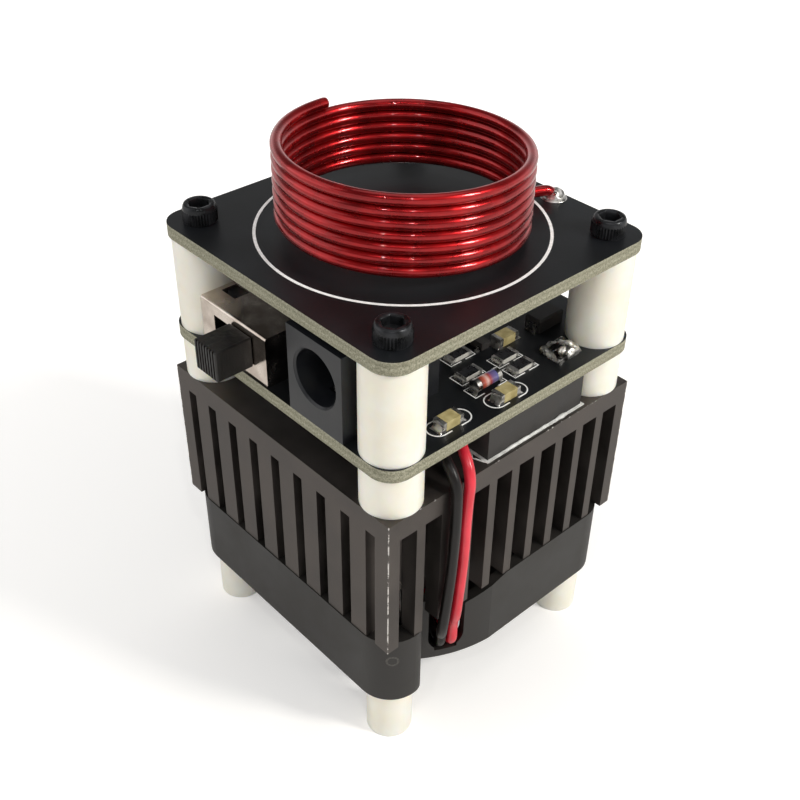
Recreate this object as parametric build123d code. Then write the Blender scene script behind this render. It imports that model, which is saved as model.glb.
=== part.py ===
from build123d import *
from math import asin, atan2, cos, hypot, pi, radians, sin, sqrt, tan
import os

# A desktop resonant transformer: a bare wire coil on a circuit board, a driver board with a
# power socket and a slide switch, a finned heat sink, and a small fan that stands on four feet.
# Millimetres. The origin is on the ground, under the centre of the stack. -Y is the side of the
# socket and the switch, and +X is the side where the fan's two leads run.

# ---- Driving dimensions: the stack, from the ground up -------------------------------------
foot_height = 8.5
fan_thickness = 10.4
sink_height = 19.9
lower_spacer_height = 5.4
board_thickness = 1.6
upper_spacer_height = 11.9

# The square that the fan, the heat sink and both boards share
fan_side = 40.0
board_side = fan_side
sink_short_by = 0.2
sink_side = fan_side - sink_short_by

# Boards, and the screws that clamp the boards to the heat sink
board_corner = 2.9
screw_inset = 3.6
screw_radius = 1.25
screw_hole_play = 0.25
thread_play = 0.02
screw_head_radius = 2.03
screw_head_height = 2.2
screw_head_edge = 0.25
socket_across_flats = 2.0
socket_depth = 1.1
screw_bite = 4.4
tapped_spare = 0.6
spacer_radius = 3.56
spacer_play = 0.35

# Coil: close turns that lean a little, and a lead bent outward to its pad
coil_radius = 13.87
coil_pitch = 1.352
coil_wire = 0.92
coil_top = 10.45
coil_start_angle = 178.0
coil_turn_count = 6
coil_piece_count = 27
gap_sample_count = 8
lean_along_x = 0.0097
lean_along_y = -0.0336
pad_x = 6.4
pad_inset = 1.5
lead_height = 1.0
lead_turn = 1.9
lead_bend = 1.3
lead_stub = 0.95
lead_hole_radius = 0.8
joint_radius = 1.25
joint_height = 1.1

# Heat sink: slots cut both ways through to the bottom
sink_plate = 2.8
x_slot_count = 9
slot_width_x = 1.55
outer_fin_x = 2.205
y_slot_count = 10
slot_width_y = 2.5
outer_fin_y = 1.685

# Fan frame
fan_corner = 4.5
fan_hole_inset = 4.0
fan_hole_radius = 1.6
duct_margin = 1.3
duct_wall = 1.45
base_plate = 1.2
post_length = 6.6
post_flat = 0.1
strut_height = 2.0
strut_width = 2.2
strut_count = 4
hub_plate_radius = 10.9
boss_radius = 3.1
boss_height = 6.7
bearing_seat_play = 0.02

# Fan motor and rotor
lead_strut_angle = -25.0
lead_trough_width = 3.0
lead_trough_wall = 0.7
lead_notch_width = 4.7
notch_shoulder_drop = 1.7
notch_slope_end = 8.5
bearing_radius = 2.4
bearing_height = 5.6
bearing_lift = 0.9
bearing_shelf_radius = 2.1
shaft_radius = 1.0
shaft_play = 0.03
shaft_floor_gap = 0.35
shaft_top_depth = 0.4
clip_radius = 1.8
clip_thickness = 0.18
clip_groove_depth = 0.2
clip_play = 0.02
clip_gap = 0.06
cup_radius = 11.2
cup_wall = 1.0
cup_face = 1.1
cup_top_gap = 0.5
cup_boss_radius = 2.2
cup_boss_height = 0.8
magnet_wall = 1.15
magnet_play = 0.05
magnet_lift = 0.5
blade_count = 7
blade_tip_gap = 0.6
blade_thickness = 0.9
blade_height = 6.7
blade_chord_root = 5.6
blade_chord_tip = 9.6
blade_sweep = 1.6
rotor_lead_gap = 0.4
circuit_radius = 9.6
circuit_thickness = 0.8
air_gap = 0.4
core_ring_radius = 4.6
core_shoe = 1.0
core_thickness = 3.0
core_lift = 2.7
core_fit = 0.02
pole_count = 4
pole_width = 2.2
pole_gap_angle = 14.0
winding_build = 1.0
winding_play = 0.05
winding_margin = 0.15

# Fan leads: the points of each route are read off the object
fan_wire = 1.3
lead_spread = 1.5
lead_wall_gap = 0.06
lead_entry_bend = 1.6
lead_drop_fall = 3.2
lead_end_radius = 9.95
bend_share = 0.45

# Feet and the long screws through them
foot_radius = 2.9
foot_bore_play = 0.3
foot_counterbore_radius = 2.4
foot_counterbore_depth = 3.0
long_screw_radius = 1.3
long_screw_head_radius = 2.2
long_screw_head_height = 1.9
long_screw_bite = 5.6
driver_slot_length = 2.4
driver_slot_width = 0.5

# Power socket
jack_spacer_gap = 0.09
jack_width = 8.9
jack_height = 11.0
jack_depth = 14.0
jack_collar = 3.4
jack_step = 0.1
jack_body_height = 10.0
jack_axis_height = 6.1
jack_bore_radius = 3.3
jack_bore_depth = 9.5
jack_mouth = 0.25
jack_pin_radius = 1.0
jack_pin_recess = 2.5
jack_pin_play = 0.02
jack_rivet_radius = 1.5
jack_rivet_height = 0.5
contact_thickness = 0.4
terminal_length = 1.6
terminal_play = 0.2
leaf_width = 2.0
leaf_thickness = 0.35
leaf_front_depth = 3.3
leaf_crown_run = 1.5
leaf_valley_run = 2.8
leaf_crown_rise = 0.75
leaf_valley_rise = 0.1
leaf_back_depth = 8.6
leaf_bend = 0.4
leaf_slot_play = 0.1
rear_blade_width = 3.0
rear_blade_top = 2.2
side_blade_width = 1.8
side_blade_depth = 8.0
side_blade_height = 5.6
side_slot_play = 0.05

# Slide switch
switch_spacer_gap = 0.14
switch_width = 12.25
switch_setback = 0.2
switch_depth = 6.2
switch_height = 6.5
switch_wall = 0.35
switch_tab_width = 1.2
switch_tab_inset = 1.2
window_width = 2.6
window_depth = 2.1
window_inset_x = 0.7
window_inset_y = 2.5
slider_width = 5.2
slider_depth = 2.4
stem_width = 3.4
stem_height = 2.4
stem_play = 0.2
knob_width = 4.1
knob_height = 3.9
knob_reach = 4.9
knob_axis_height = 3.65
knob_travel = 3.35
knob_round = 0.2
groove_count = 7
groove_width = 0.24
groove_depth = 0.22
slide_gap = 0.06
switch_floor = 1.4
base_wall = 2.35
bridge_height = 2.0
bridge_inset = 0.1
bridge_gap = 0.1
blade_width = 0.8
blade_depth = 0.5
blade_proud = 0.25
blade_hole_radius = 0.6

# Power transistor, flat on the heat sink
package_left = -1.7
package_side_inset = 0.8
package_jack_gap = 1.8
package_spacer_gap = 1.04
package_thickness = 4.6
package_edge = 0.5
package_hole_radius = 1.8
package_hole_inset = 6.0
paste_thickness = 0.12
paste_margin = 0.35
tab_inset = 1.0
tab_thickness = 1.9
package_lead_pitch = 5.45
package_lead_width = 1.2
package_lead_thickness = 0.6
package_lead_rise = 3.2
package_lead_height = 2.3
package_lead_bend = 0.9
package_lead_stub = 1.0
package_lead_hole = 0.8

# Small parts on the driver board. A place is how far in from the board's +X edge, then y
ceramic_places = [(2.5, -9.2), (1.85, -0.95), (9.5, 6.95)]
ceramic_length = 3.05
ceramic_width = 1.6
ceramic_height = 1.15
ceramic_cap = 0.5
resistor_places = [(7.4, -1.25), (10.9, 0.45), (7.0, 4.4), (4.5, 4.35)]
resistor_length = 3.05
resistor_width = 1.55
resistor_height = 0.6
resistor_cap = 0.45
glass_place = (4.7, -1.2)
glass_length = 3.8
glass_radius = 0.8
glass_cap = 0.6
glass_waist = 0.03
gate_place = (11.1, 3.9)
gate_length = 2.9
gate_width = 1.3
gate_height = 1.1
gate_leg_width = 0.42
gate_leg_pitch = 0.95
gate_leg_reach = 0.6

# These lie by the rear edge. A place is how far in from the +X edge, then from the +Y edge
rectifier_place = (8.8, 6.9)
rectifier_length = 4.2
rectifier_width = 2.3
rectifier_height = 1.9
rectifier_terminal_width = 1.5
rectifier_terminal_height = 1.3
rectifier_terminal_foot = 0.45
leg_thickness = 0.2
lump_place = (3.6, 9.7)
lump_length = 4.2
lump_width = 3.3
lump_height = 1.2
lump_round = 0.8
link_place = (16.6, 2.8)
link_radius = 0.4
link_hole_play = 0.1

# The supply's parts, left of the middle
choke_x = -11.0
choke_screw_distance = 9.8
choke_flange_radius = 5.0
choke_flange = 1.2
choke_drum_radius = 2.6
choke_height = 8.4
choke_winding_radius = 4.4
choke_play = 0.05
capacitor_x = -10.2
capacitor_choke_gap = 1.85
capacitor_radius = 4.0
capacitor_base_side = 8.3
capacitor_base_height = 1.2
capacitor_height = 9.4
capacitor_round = 0.4

# Solder fillets round the pins
solder_reach = 0.45
solder_height = 0.8
solder_slope = 22
wire_play = 0.02

# ---- Levels and places that follow from them ------------------------------------------------
fan_bottom = foot_height
sink_bottom = fan_bottom + fan_thickness
sink_top = sink_bottom + sink_height
driver_bottom = sink_top + lower_spacer_height
driver_top = driver_bottom + board_thickness
deck_bottom = driver_top + upper_spacer_height
deck = deck_bottom + board_thickness
board_edge = board_side / 2
frame_screw_at = board_edge - screw_inset
fan_screw_at = fan_side / 2 - fan_hole_inset
overcut = 1.0


# ---- Helpers --------------------------------------------------------------------------------
def block(x0, x1, y0, y1, z0, z1):
    """A box between its six faces."""
    return Pos((x0 + x1) / 2, (y0 + y1) / 2, (z0 + z1) / 2) * Box(x1 - x0, y1 - y0, z1 - z0)


def brick(place, long_x, long_y, z0, z1):
    """A box round a place."""
    x, y = place
    return block(x - long_x / 2, x + long_x / 2, y - long_y / 2, y + long_y / 2, z0, z1)


def rod(place, z0, z1, radius):
    """An upright cylinder."""
    x, y = place
    return Pos(x, y, (z0 + z1) / 2) * Cylinder(radius, z1 - z0)


def tube(place, z0, z1, radius, bore):
    """An upright tube."""
    return rod(place, z0, z1, radius) - rod(place, z0 - overcut, z1 + overcut, bore)


def corners(reach):
    """The four places of a square pattern."""
    return [(x, y) for x in (-reach, reach) for y in (-reach, reach)]


def by_side(place):
    """A place given from the +X edge, as x and y."""
    inset, y = place
    return (board_edge - inset, y)


def by_rear(place):
    """A place given from the +X and the +Y edge, as x and y."""
    side_inset, rear_inset = place
    return (board_edge - side_inset, board_edge - rear_inset)


def save(name, *pieces):
    """Write one node: a single solid, or a group of separate solids."""
    solids = [solid for piece in pieces for solid in piece.solids()]
    shape = solids[0] if len(solids) == 1 else Compound(solids)
    export_step(shape, f"parts/{name}.step")


def strip(points, bend, thickness, width, place):
    """A bent strip: its route lies in the placed plane, and its width runs across it."""
    route = FilletPolyline(*points, radius=bend)
    return place * extrude(trace(route, thickness), amount=width / 2, both=True)


def solder(place, z, wide, deep, way):
    """A fillet of solder round a flat pin: way is 1 above a board and -1 below it."""
    x, y = place
    outline = RectangleRounded(wide + 2 * solder_reach, deep + 2 * solder_reach, solder_reach)
    lump = extrude(Pos(x, y, z) * outline, amount=solder_height, dir=(0, 0, way), taper=solder_slope)
    reach = solder_height + overcut
    return lump - brick(place, wide, deep, z - reach, z + reach)


# ---- Coil -----------------------------------------------------------------------------------
pad_y = board_edge - pad_inset


def coil_end_angle():
    """The angle where the lead's sideways bend starts, whole turns counted in."""
    before_pad = asin(lead_turn / hypot(pad_x, pad_y))
    return atan2(pad_y, pad_x) - before_pad + 2 * pi * (coil_turn_count + 1)


def coil_point(angle):
    """A point of the centre line. The turns sink as the angle grows, and lean with x and y."""
    x = coil_radius * cos(angle)
    y = coil_radius * sin(angle)
    sunk = coil_pitch * (angle - radians(coil_start_angle)) / (2 * pi)
    return Vector(x, y, deck + coil_top - sunk + lean_along_x * x + lean_along_y * y)


def coil_heading(angle):
    """The direction of the wire at an angle."""
    x = -coil_radius * sin(angle)
    y = coil_radius * cos(angle)
    z = -coil_pitch / (2 * pi) + lean_along_x * x + lean_along_y * y
    return Vector(x, y, z).normalized()


def biarc(start, leaving, end, arriving):
    """Two arcs, tangent to each other, that join two points with given headings."""
    chord = end - start
    both = leaving + arriving
    slack = 2 * (1 - leaving.dot(arriving))
    lean = chord.dot(both)
    reach = (-lean + sqrt(lean * lean + slack * chord.dot(chord))) / slack
    middle = ((start + leaving * reach) + (end - arriving * reach)) / 2
    first = TangentArc(start, middle, tangent=leaving)
    second = TangentArc(middle, end, tangent=first % 1)
    return [first, second]


def coil_route():
    """The turns, then a lead that bends outward, runs to the pad and bends down through its hole."""
    first_angle = radians(coil_start_angle)
    last_angle = coil_end_angle()
    step = (last_angle - first_angle) / coil_piece_count
    route = []
    for piece in range(coil_piece_count):
        here = first_angle + piece * step
        there = here + step
        route += biarc(coil_point(here), coil_heading(here), coil_point(there), coil_heading(there))

    outward = Vector(cos(last_angle), sin(last_angle), 0)
    pad = Vector(pad_x, pad_y, deck + lead_height)
    run = hypot(pad_x, pad_y) * cos(atan2(pad_y, pad_x) - last_angle) - coil_radius - lead_turn
    turned = pad - outward * run
    bend_start = pad - outward * lead_bend
    bend_end = Vector(pad_x, pad_y, pad.Z - lead_bend)
    stub_end = Vector(pad_x, pad_y, deck_bottom - lead_stub)
    route += biarc(coil_point(last_angle), coil_heading(last_angle), turned, outward)
    route += [Line(turned, bend_start)]
    route += [TangentArc(bend_start, bend_end, tangent=outward)]
    route += [Line(bend_end, stub_end)]
    return route


def print_least_gap(route):
    """Measure the wire's least gap to itself on points, away from its own neighbourhood."""
    points = []
    walked = 0.0
    for edge in route:
        for sample in range(gap_sample_count):
            share = sample / gap_sample_count
            points.append((walked + edge.length * share, edge @ share))
        walked += edge.length
    neighbourhood = pi * coil_radius / 2
    least = min(
        (near - far).length
        for index, (here, near) in enumerate(points)
        for there, far in points[index + 1:]
        if there - here > neighbourhood
    )
    print(f"coil: wire {walked:.1f} long, least gap to itself {least - coil_wire:.3f}")


def coil_winding():
    """One unbroken tube from the free end on top to the stub under the pad."""
    route = coil_route()
    print_least_gap(route)
    start = radians(coil_start_angle)
    section = Plane(origin=coil_point(start), z_dir=coil_heading(start)) * Circle(coil_wire / 2)
    winding = sweep(section, path=Wire(route))
    length = sum(edge.length for edge in route)
    share = winding.volume / (length * pi * coil_wire ** 2 / 4)
    print(f"coil: volume over section times length {share:.4f}")
    return winding


def coil_solder_joint():
    """A dome of solder on the pad, round the lead's bend."""
    ball_radius = (joint_radius ** 2 + joint_height ** 2) / (2 * joint_height)
    ball = Pos(pad_x, pad_y, deck + joint_height - ball_radius) * Sphere(ball_radius)
    return ball & rod((pad_x, pad_y), deck, deck + 2 * joint_height, 2 * joint_radius)


# ---- Boards, spacers and frame screws -------------------------------------------------------
def bare_board(z0):
    """A square board with rounded corners and its four screw holes."""
    outline = RectangleRounded(board_side, board_side, board_corner)
    board = extrude(Pos(0, 0, z0) * outline, amount=board_thickness)
    hole = screw_radius + screw_hole_play
    for place in corners(frame_screw_at):
        board -= rod(place, z0 - overcut, z0 + board_thickness + overcut, hole)
    return board


def coil_board():
    """The top board: only the pad's hole is added."""
    hole = rod((pad_x, pad_y), deck_bottom - overcut, deck + overcut, lead_hole_radius)
    return bare_board(deck_bottom) - hole


def spacers(z0, height):
    """Four nylon spacers."""
    bore = screw_radius + spacer_play
    return [tube(place, z0, z0 + height, spacer_radius, bore) for place in corners(frame_screw_at)]


def frame_screw(place):
    """A socket cap screw from the coil board down into the heat sink."""
    x, y = place
    head = rod(place, deck, deck + screw_head_height, screw_head_radius)
    head = chamfer(head.edges().group_by(Axis.Z)[-1], screw_head_edge)
    hexagon = RegularPolygon(socket_across_flats / 2, 6, major_radius=False)
    head -= extrude(Pos(x, y, deck + screw_head_height) * hexagon, amount=-socket_depth)
    return head + rod(place, sink_top - screw_bite, deck, screw_radius)


def driver_board():
    """The lower board, with a hole or a slot for every pin that goes through it."""
    board = bare_board(driver_bottom)
    z0 = driver_bottom - overcut
    z1 = driver_top + overcut
    for place, wide, deep in jack_terminals() + switch_tabs():
        board -= brick(place, wide + 2 * terminal_play, deep + 2 * terminal_play, z0, z1)
    for place in switch_blade_places():
        board -= rod(place, z0, z1, blade_hole_radius)
    for place in package_lead_places():
        board -= rod(place, z0, z1, package_lead_hole)
    return board - rod(by_rear(link_place), z0, z1, link_radius + link_hole_play)


def link_wire():
    """A straight wire from the driver board up to the coil board's underside."""
    return rod(by_rear(link_place), driver_bottom - package_lead_stub, deck_bottom, link_radius)


def board_solder_joints():
    """Solder on every pin: below the board, and above it for the transistor's leads."""
    joints = [solder(place, driver_bottom, wide, deep, -1) for place, wide, deep in jack_terminals()]
    joints += [solder(place, driver_bottom, wide, deep, -1) for place, wide, deep in switch_tabs()]
    for place in switch_blade_places():
        joints.append(solder(place, driver_bottom, blade_width, blade_depth, -1))
    for place in package_lead_places():
        joints.append(solder(place, driver_top, package_lead_thickness, package_lead_width, 1))
    across = 2 * (link_radius + wire_play)
    for level in (driver_bottom, deck_bottom):
        joints.append(solder(by_rear(link_place), level, across, across, -1))
    return joints


# ---- Power socket ---------------------------------------------------------------------------
jack_front = -board_edge
jack_back = jack_front + jack_depth
jack_right = frame_screw_at - spacer_radius - jack_spacer_gap
jack_left = jack_right - jack_width
jack_x = jack_left + jack_width / 2
jack_z = driver_top + jack_axis_height
leaf_front = jack_front + leaf_front_depth
leaf_back = jack_front + leaf_back_depth
side_blade_y = jack_front + side_blade_depth


def jack_side_x():
    """The middle of the side contact, let into the body's wall."""
    return jack_left + jack_step + side_slot_play + contact_thickness / 2


def jack_terminals():
    """Each terminal's place on the board, with its size across."""
    rear = ((jack_x, jack_back + contact_thickness / 2), rear_blade_width, contact_thickness)
    leaf = ((jack_x, leaf_back), leaf_width, leaf_thickness)
    side = ((jack_side_x(), side_blade_y), contact_thickness, side_blade_width)
    return [rear, leaf, side]


def along_y(y0, y1, radius):
    """A cylinder on the socket's axis."""
    return Pos(jack_x, (y0 + y1) / 2, jack_z) * Rot(90, 0, 0) * Cylinder(radius, y1 - y0)


def dc_jack_housing():
    """The moulded body: a front collar, a lower rear part, the bore and the contacts' slots."""
    collar_back = jack_front + jack_collar
    body = block(jack_left, jack_right, jack_front, collar_back, driver_top, driver_top + jack_height)
    side = jack_left + jack_step
    rear_top = driver_top + jack_body_height
    body += block(side, jack_right - jack_step, collar_back, jack_back, driver_top, rear_top)
    body -= along_y(jack_front - overcut, jack_front + jack_bore_depth, jack_bore_radius)
    mouth = Cone(jack_bore_radius, jack_bore_radius + jack_mouth, jack_mouth)
    body -= Pos(jack_x, jack_front + jack_mouth / 2, jack_z) * Rot(90, 0, 0) * mouth
    body -= along_y(jack_front, jack_back + overcut, jack_pin_radius + jack_pin_play)
    half_leaf = leaf_width / 2 + leaf_slot_play
    leaf_top = jack_z - sqrt(jack_bore_radius ** 2 - half_leaf ** 2) + leaf_slot_play
    slot_front = leaf_front - leaf_slot_play - leaf_thickness
    slot_back = leaf_back + leaf_slot_play + leaf_thickness
    z0 = driver_top - overcut
    body -= block(jack_x - half_leaf, jack_x + half_leaf, slot_front, slot_back, z0, leaf_top)
    slot_x = side + contact_thickness + 2 * side_slot_play
    half_side = side_blade_width / 2 + side_slot_play
    slot_top = driver_top + side_blade_height + side_slot_play
    y0 = side_blade_y - half_side
    return body - block(side - overcut, slot_x, y0, y0 + 2 * half_side, z0, slot_top)


def dc_jack_pin():
    """The centre pin: a rounded tip, a shank through the rear wall, and a riveted end."""
    tip = jack_front + jack_pin_recess
    rivet = jack_back + contact_thickness
    shank = along_y(tip, rivet, jack_pin_radius)
    shank = fillet(shank.edges().group_by(Axis.Y)[0], jack_pin_radius / 2)
    return shank + along_y(rivet, rivet + jack_rivet_height, jack_rivet_radius)


def dc_jack_contacts():
    """The rear blade on the pin, the spring leaf under the bore, and the side blade."""
    foot = driver_bottom - terminal_length
    rear_place = (jack_x, jack_back + contact_thickness / 2)
    rear = brick(rear_place, rear_blade_width, contact_thickness, foot, jack_z + rear_blade_top)
    rear -= along_y(jack_back - overcut, jack_back + overcut, jack_pin_radius + jack_pin_play)
    side_place = (jack_side_x(), side_blade_y)
    side = brick(side_place, contact_thickness, side_blade_width, foot, driver_top + side_blade_height)
    rest = jack_z - jack_bore_radius - leaf_thickness / 2
    route = [
        (leaf_front, rest),
        (leaf_front + leaf_crown_run, rest + leaf_crown_rise),
        (leaf_front + leaf_valley_run, rest + leaf_valley_rise),
        (leaf_back, rest),
        (leaf_back, foot),
    ]
    leaf = strip(route, leaf_bend, leaf_thickness, leaf_width, Pos(jack_x, 0, 0) * Plane.YZ.location)
    return [rear, leaf, side]


# ---- Slide switch ---------------------------------------------------------------------------
switch_left = spacer_radius + switch_spacer_gap - frame_screw_at
switch_right = switch_left + switch_width
switch_front = switch_setback - board_edge
switch_back = switch_front + switch_depth
switch_x = (switch_left + switch_right) / 2
knob_z = driver_top + knob_axis_height
slot_length = stem_width + knob_travel + 2 * stem_play
knob_x = switch_x + knob_travel / 2
blade_front = switch_back - switch_wall - base_wall - blade_proud
blade_y = blade_front + blade_depth / 2
tab_y = switch_back - switch_wall / 2


def switch_tabs():
    """The can's two mounting tabs: place and size across."""
    left = (switch_left + switch_tab_inset, tab_y)
    right = (switch_right - switch_tab_inset, tab_y)
    return [(left, switch_tab_width, switch_wall), (right, switch_tab_width, switch_wall)]


def switch_blade_places():
    """Three blades, one knob travel apart."""
    return [(switch_x + step * knob_travel, blade_y) for step in (-1, 0, 1)]


def switch_can():
    """The folded steel can, open below, with the knob's slot in front and a window on top."""
    top = driver_top + switch_height
    can = block(switch_left, switch_right, switch_front, switch_back, driver_top, top)
    front_and_top = can.edges().filter_by(Axis.X).group_by(Axis.Z)[-1]
    can = fillet(front_and_top, switch_wall)
    inner = block(
        switch_left + switch_wall, switch_right - switch_wall, switch_front + switch_wall,
        switch_back - switch_wall, driver_top - overcut, top - switch_wall,
    )
    can -= inner
    slot = Box(slot_length, 4 * switch_wall, stem_height + 2 * stem_play)
    can -= Pos(switch_x, switch_front, knob_z) * slot
    window_x = switch_left + window_inset_x + window_width / 2
    window_y = switch_front + window_inset_y + window_depth / 2
    z0 = top - overcut / 2
    can -= brick((window_x, window_y), window_width, window_depth, z0, top + overcut)
    for place, wide, deep in switch_tabs():
        can += brick(place, wide, deep, driver_bottom - terminal_length / 2, driver_top)
    return can


def switch_pins():
    """The three contact blades."""
    top = driver_top + switch_height - 3 * switch_wall
    foot = driver_bottom - terminal_length
    return [brick(place, blade_width, blade_depth, foot, top) for place in switch_blade_places()]


def switch_base():
    """The moulded base: a floor that the slider rides on and a rear wall that holds the blades."""
    left = switch_left + switch_wall + slide_gap
    right = switch_right - switch_wall - slide_gap
    back = switch_back - switch_wall
    floor_top = driver_top + switch_floor
    wall_top = driver_top + switch_height - switch_wall - slide_gap
    base = block(left, right, switch_front + switch_wall + slide_gap, back, driver_top, floor_top)
    base += block(left, right, back - base_wall, back, floor_top, wall_top)
    for blade in switch_pins():
        base -= blade
    return base


def switch_knob():
    """Knob, stem and slider in one moulding, at the right-hand end of its travel."""
    slider_front = switch_front + switch_wall + slide_gap
    z0 = driver_top + switch_floor + slide_gap
    z1 = driver_top + switch_height - switch_wall - slide_gap
    slider = brick((knob_x, slider_front + slider_depth / 2), slider_width, slider_depth, z0, z1)
    knob_back = switch_front - slide_gap
    stem_long = slider_front - knob_back
    stem = Pos(knob_x, knob_back + stem_long / 2, knob_z) * Box(stem_width, stem_long, stem_height)
    tip = switch_front - knob_reach
    knob_long = knob_back - tip
    knob = Pos(knob_x, tip + knob_long / 2, knob_z) * Box(knob_width, knob_long, knob_height)
    knob = fillet(knob.edges(), knob_round)
    groove_pitch = knob_width / (groove_count + 1)
    for number in range(groove_count):
        x = knob_x + (number - (groove_count - 1) / 2) * groove_pitch
        knob -= Pos(x, tip, knob_z) * Box(groove_width, 2 * groove_depth, knob_height + overcut)
    return knob + stem + slider


def switch_bridge():
    """The strip on the slider's back that joins two blades."""
    y0 = switch_front + switch_wall + slide_gap + slider_depth
    y1 = blade_front - bridge_gap
    width = slider_width - 2 * bridge_inset
    z = driver_top + (switch_floor + switch_height) / 2
    return Pos(knob_x, (y0 + y1) / 2, z) * Box(width, y1 - y0, bridge_height)


# ---- Power transistor -----------------------------------------------------------------------
package_right = sink_side / 2 - package_side_inset
package_front = jack_back + package_jack_gap
package_back = frame_screw_at - spacer_radius - package_spacer_gap
package_z = sink_top + paste_thickness
package_y = (package_front + package_back) / 2
package_hole_place = (package_right - package_hole_inset, package_y)


def package_lead_places():
    """Where the three leads come up through the driver board."""
    x = package_left - package_lead_rise
    return [(x, package_y + step * package_lead_pitch) for step in (-1, 0, 1)]


def power_transistor_tab():
    """The metal plate let into the package's underside."""
    right = package_right - tab_inset
    front = package_front + tab_inset
    back = package_back - tab_inset
    tab = block(package_left + tab_inset, right, front, back, package_z, package_z + tab_thickness)
    hole_top = package_z + package_thickness
    return tab - rod(package_hole_place, package_z - overcut, hole_top, package_hole_radius)


def power_transistor_body():
    """The moulded package round the plate."""
    top = package_z + package_thickness
    body = block(package_left, package_right, package_front, package_back, package_z, top)
    body = chamfer(body.edges().group_by(Axis.Z)[-1], package_edge)
    body -= rod(package_hole_place, package_z - overcut, top + overcut, package_hole_radius)
    return body - power_transistor_tab()


def power_transistor_leads():
    """Three flat leads that run out of the package and bend up through the board."""
    z = package_z + package_lead_height
    leads = []
    for x, y in package_lead_places():
        route = [(package_left, z), (x, z), (x, driver_top + package_lead_stub)]
        place = Pos(0, y, 0) * Plane.XZ.location
        leads.append(strip(route, package_lead_bend, package_lead_thickness, package_lead_width, place))
    return leads


def thermal_paste():
    """The thin layer under the package, squeezed out past its edges."""
    left = package_left - paste_margin
    right = package_right + paste_margin
    front = package_front - paste_margin
    return block(left, right, front, package_back + paste_margin, sink_top, package_z)


# ---- Heat sink ------------------------------------------------------------------------------
def slot_places(count, outer_fin, width):
    """The middles of a row of slots, spread evenly between the two outer fins."""
    first = outer_fin + width / 2 - sink_side / 2
    pitch = -2 * first / (count - 1)
    return [first + number * pitch for number in range(count)]


def heatsink():
    """A block cut both ways from below, with tapped holes above and screw holes below."""
    half = sink_side / 2
    sink = block(-half, half, -half, half, sink_bottom, sink_top)
    slot_bottom = sink_bottom - overcut
    slot_top = sink_top - sink_plate
    for x in slot_places(x_slot_count, outer_fin_x, slot_width_x):
        sink -= brick((x, 0), slot_width_x, sink_side + overcut, slot_bottom, slot_top)
    for y in slot_places(y_slot_count, outer_fin_y, slot_width_y):
        sink -= brick((0, y), sink_side + overcut, slot_width_y, slot_bottom, slot_top)
    for place in corners(frame_screw_at):
        hole_bottom = sink_top - screw_bite - tapped_spare
        sink -= rod(place, hole_bottom, sink_top + overcut, screw_radius + thread_play)
    for place in corners(fan_screw_at):
        hole_top = sink_bottom + long_screw_bite + tapped_spare
        sink -= rod(place, slot_bottom, hole_top, long_screw_radius + thread_play)
    return sink


# ---- Fan ------------------------------------------------------------------------------------
centre = (0, 0)
duct_radius = fan_side / 2 - duct_margin
wall_radius = duct_radius + duct_wall
blade_tip_radius = duct_radius - blade_tip_gap
magnet_radius = cup_radius - cup_wall - magnet_play
core_radius = magnet_radius - magnet_wall - air_gap
plate_top = fan_bottom + base_plate
lead_level = plate_top + fan_wire / 2 + lead_wall_gap
rotor_bottom = lead_level + fan_wire / 2 + rotor_lead_gap
bearing_bottom = plate_top + bearing_lift
bearing_top = bearing_bottom + bearing_height
cup_top = sink_bottom - cup_top_gap
cup_ceiling = cup_top - cup_face
core_bottom = plate_top + core_lift
core_top = core_bottom + core_thickness


def spoke(angle, r0, r1, width, z0, z1):
    """A bar that runs outward from the fan's axis."""
    return Rot(0, 0, angle) * block(r0, r1, -width / 2, width / 2, z0, z1)


def across_strut(outline, radius):
    """An outline that stands across the lead strut, cut outward from a radius."""
    standing = Pos(radius, 0, 0) * Plane.YZ.location * outline
    return Rot(0, 0, lead_strut_angle) * extrude(standing, amount=fan_side / 2)


def lead_notch():
    """The way in for the leads: a notch with a round bottom, and the wall's sloped top beside it."""
    half = lead_notch_width / 2
    middle = plate_top + half
    top = sink_bottom + overcut
    opening = Pos(0, (middle + top) / 2) * Rectangle(lead_notch_width, top - middle)
    opening += Pos(0, middle) * Circle(half)
    shoulder = sink_bottom - notch_shoulder_drop
    slope = Polyline(
        (0, shoulder), (half, shoulder), (notch_slope_end, sink_bottom), (notch_slope_end, top), (0, top),
        close=True,
    )
    return [across_strut(opening, duct_radius - overcut), across_strut(make_face(slope), hub_plate_radius)]


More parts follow.
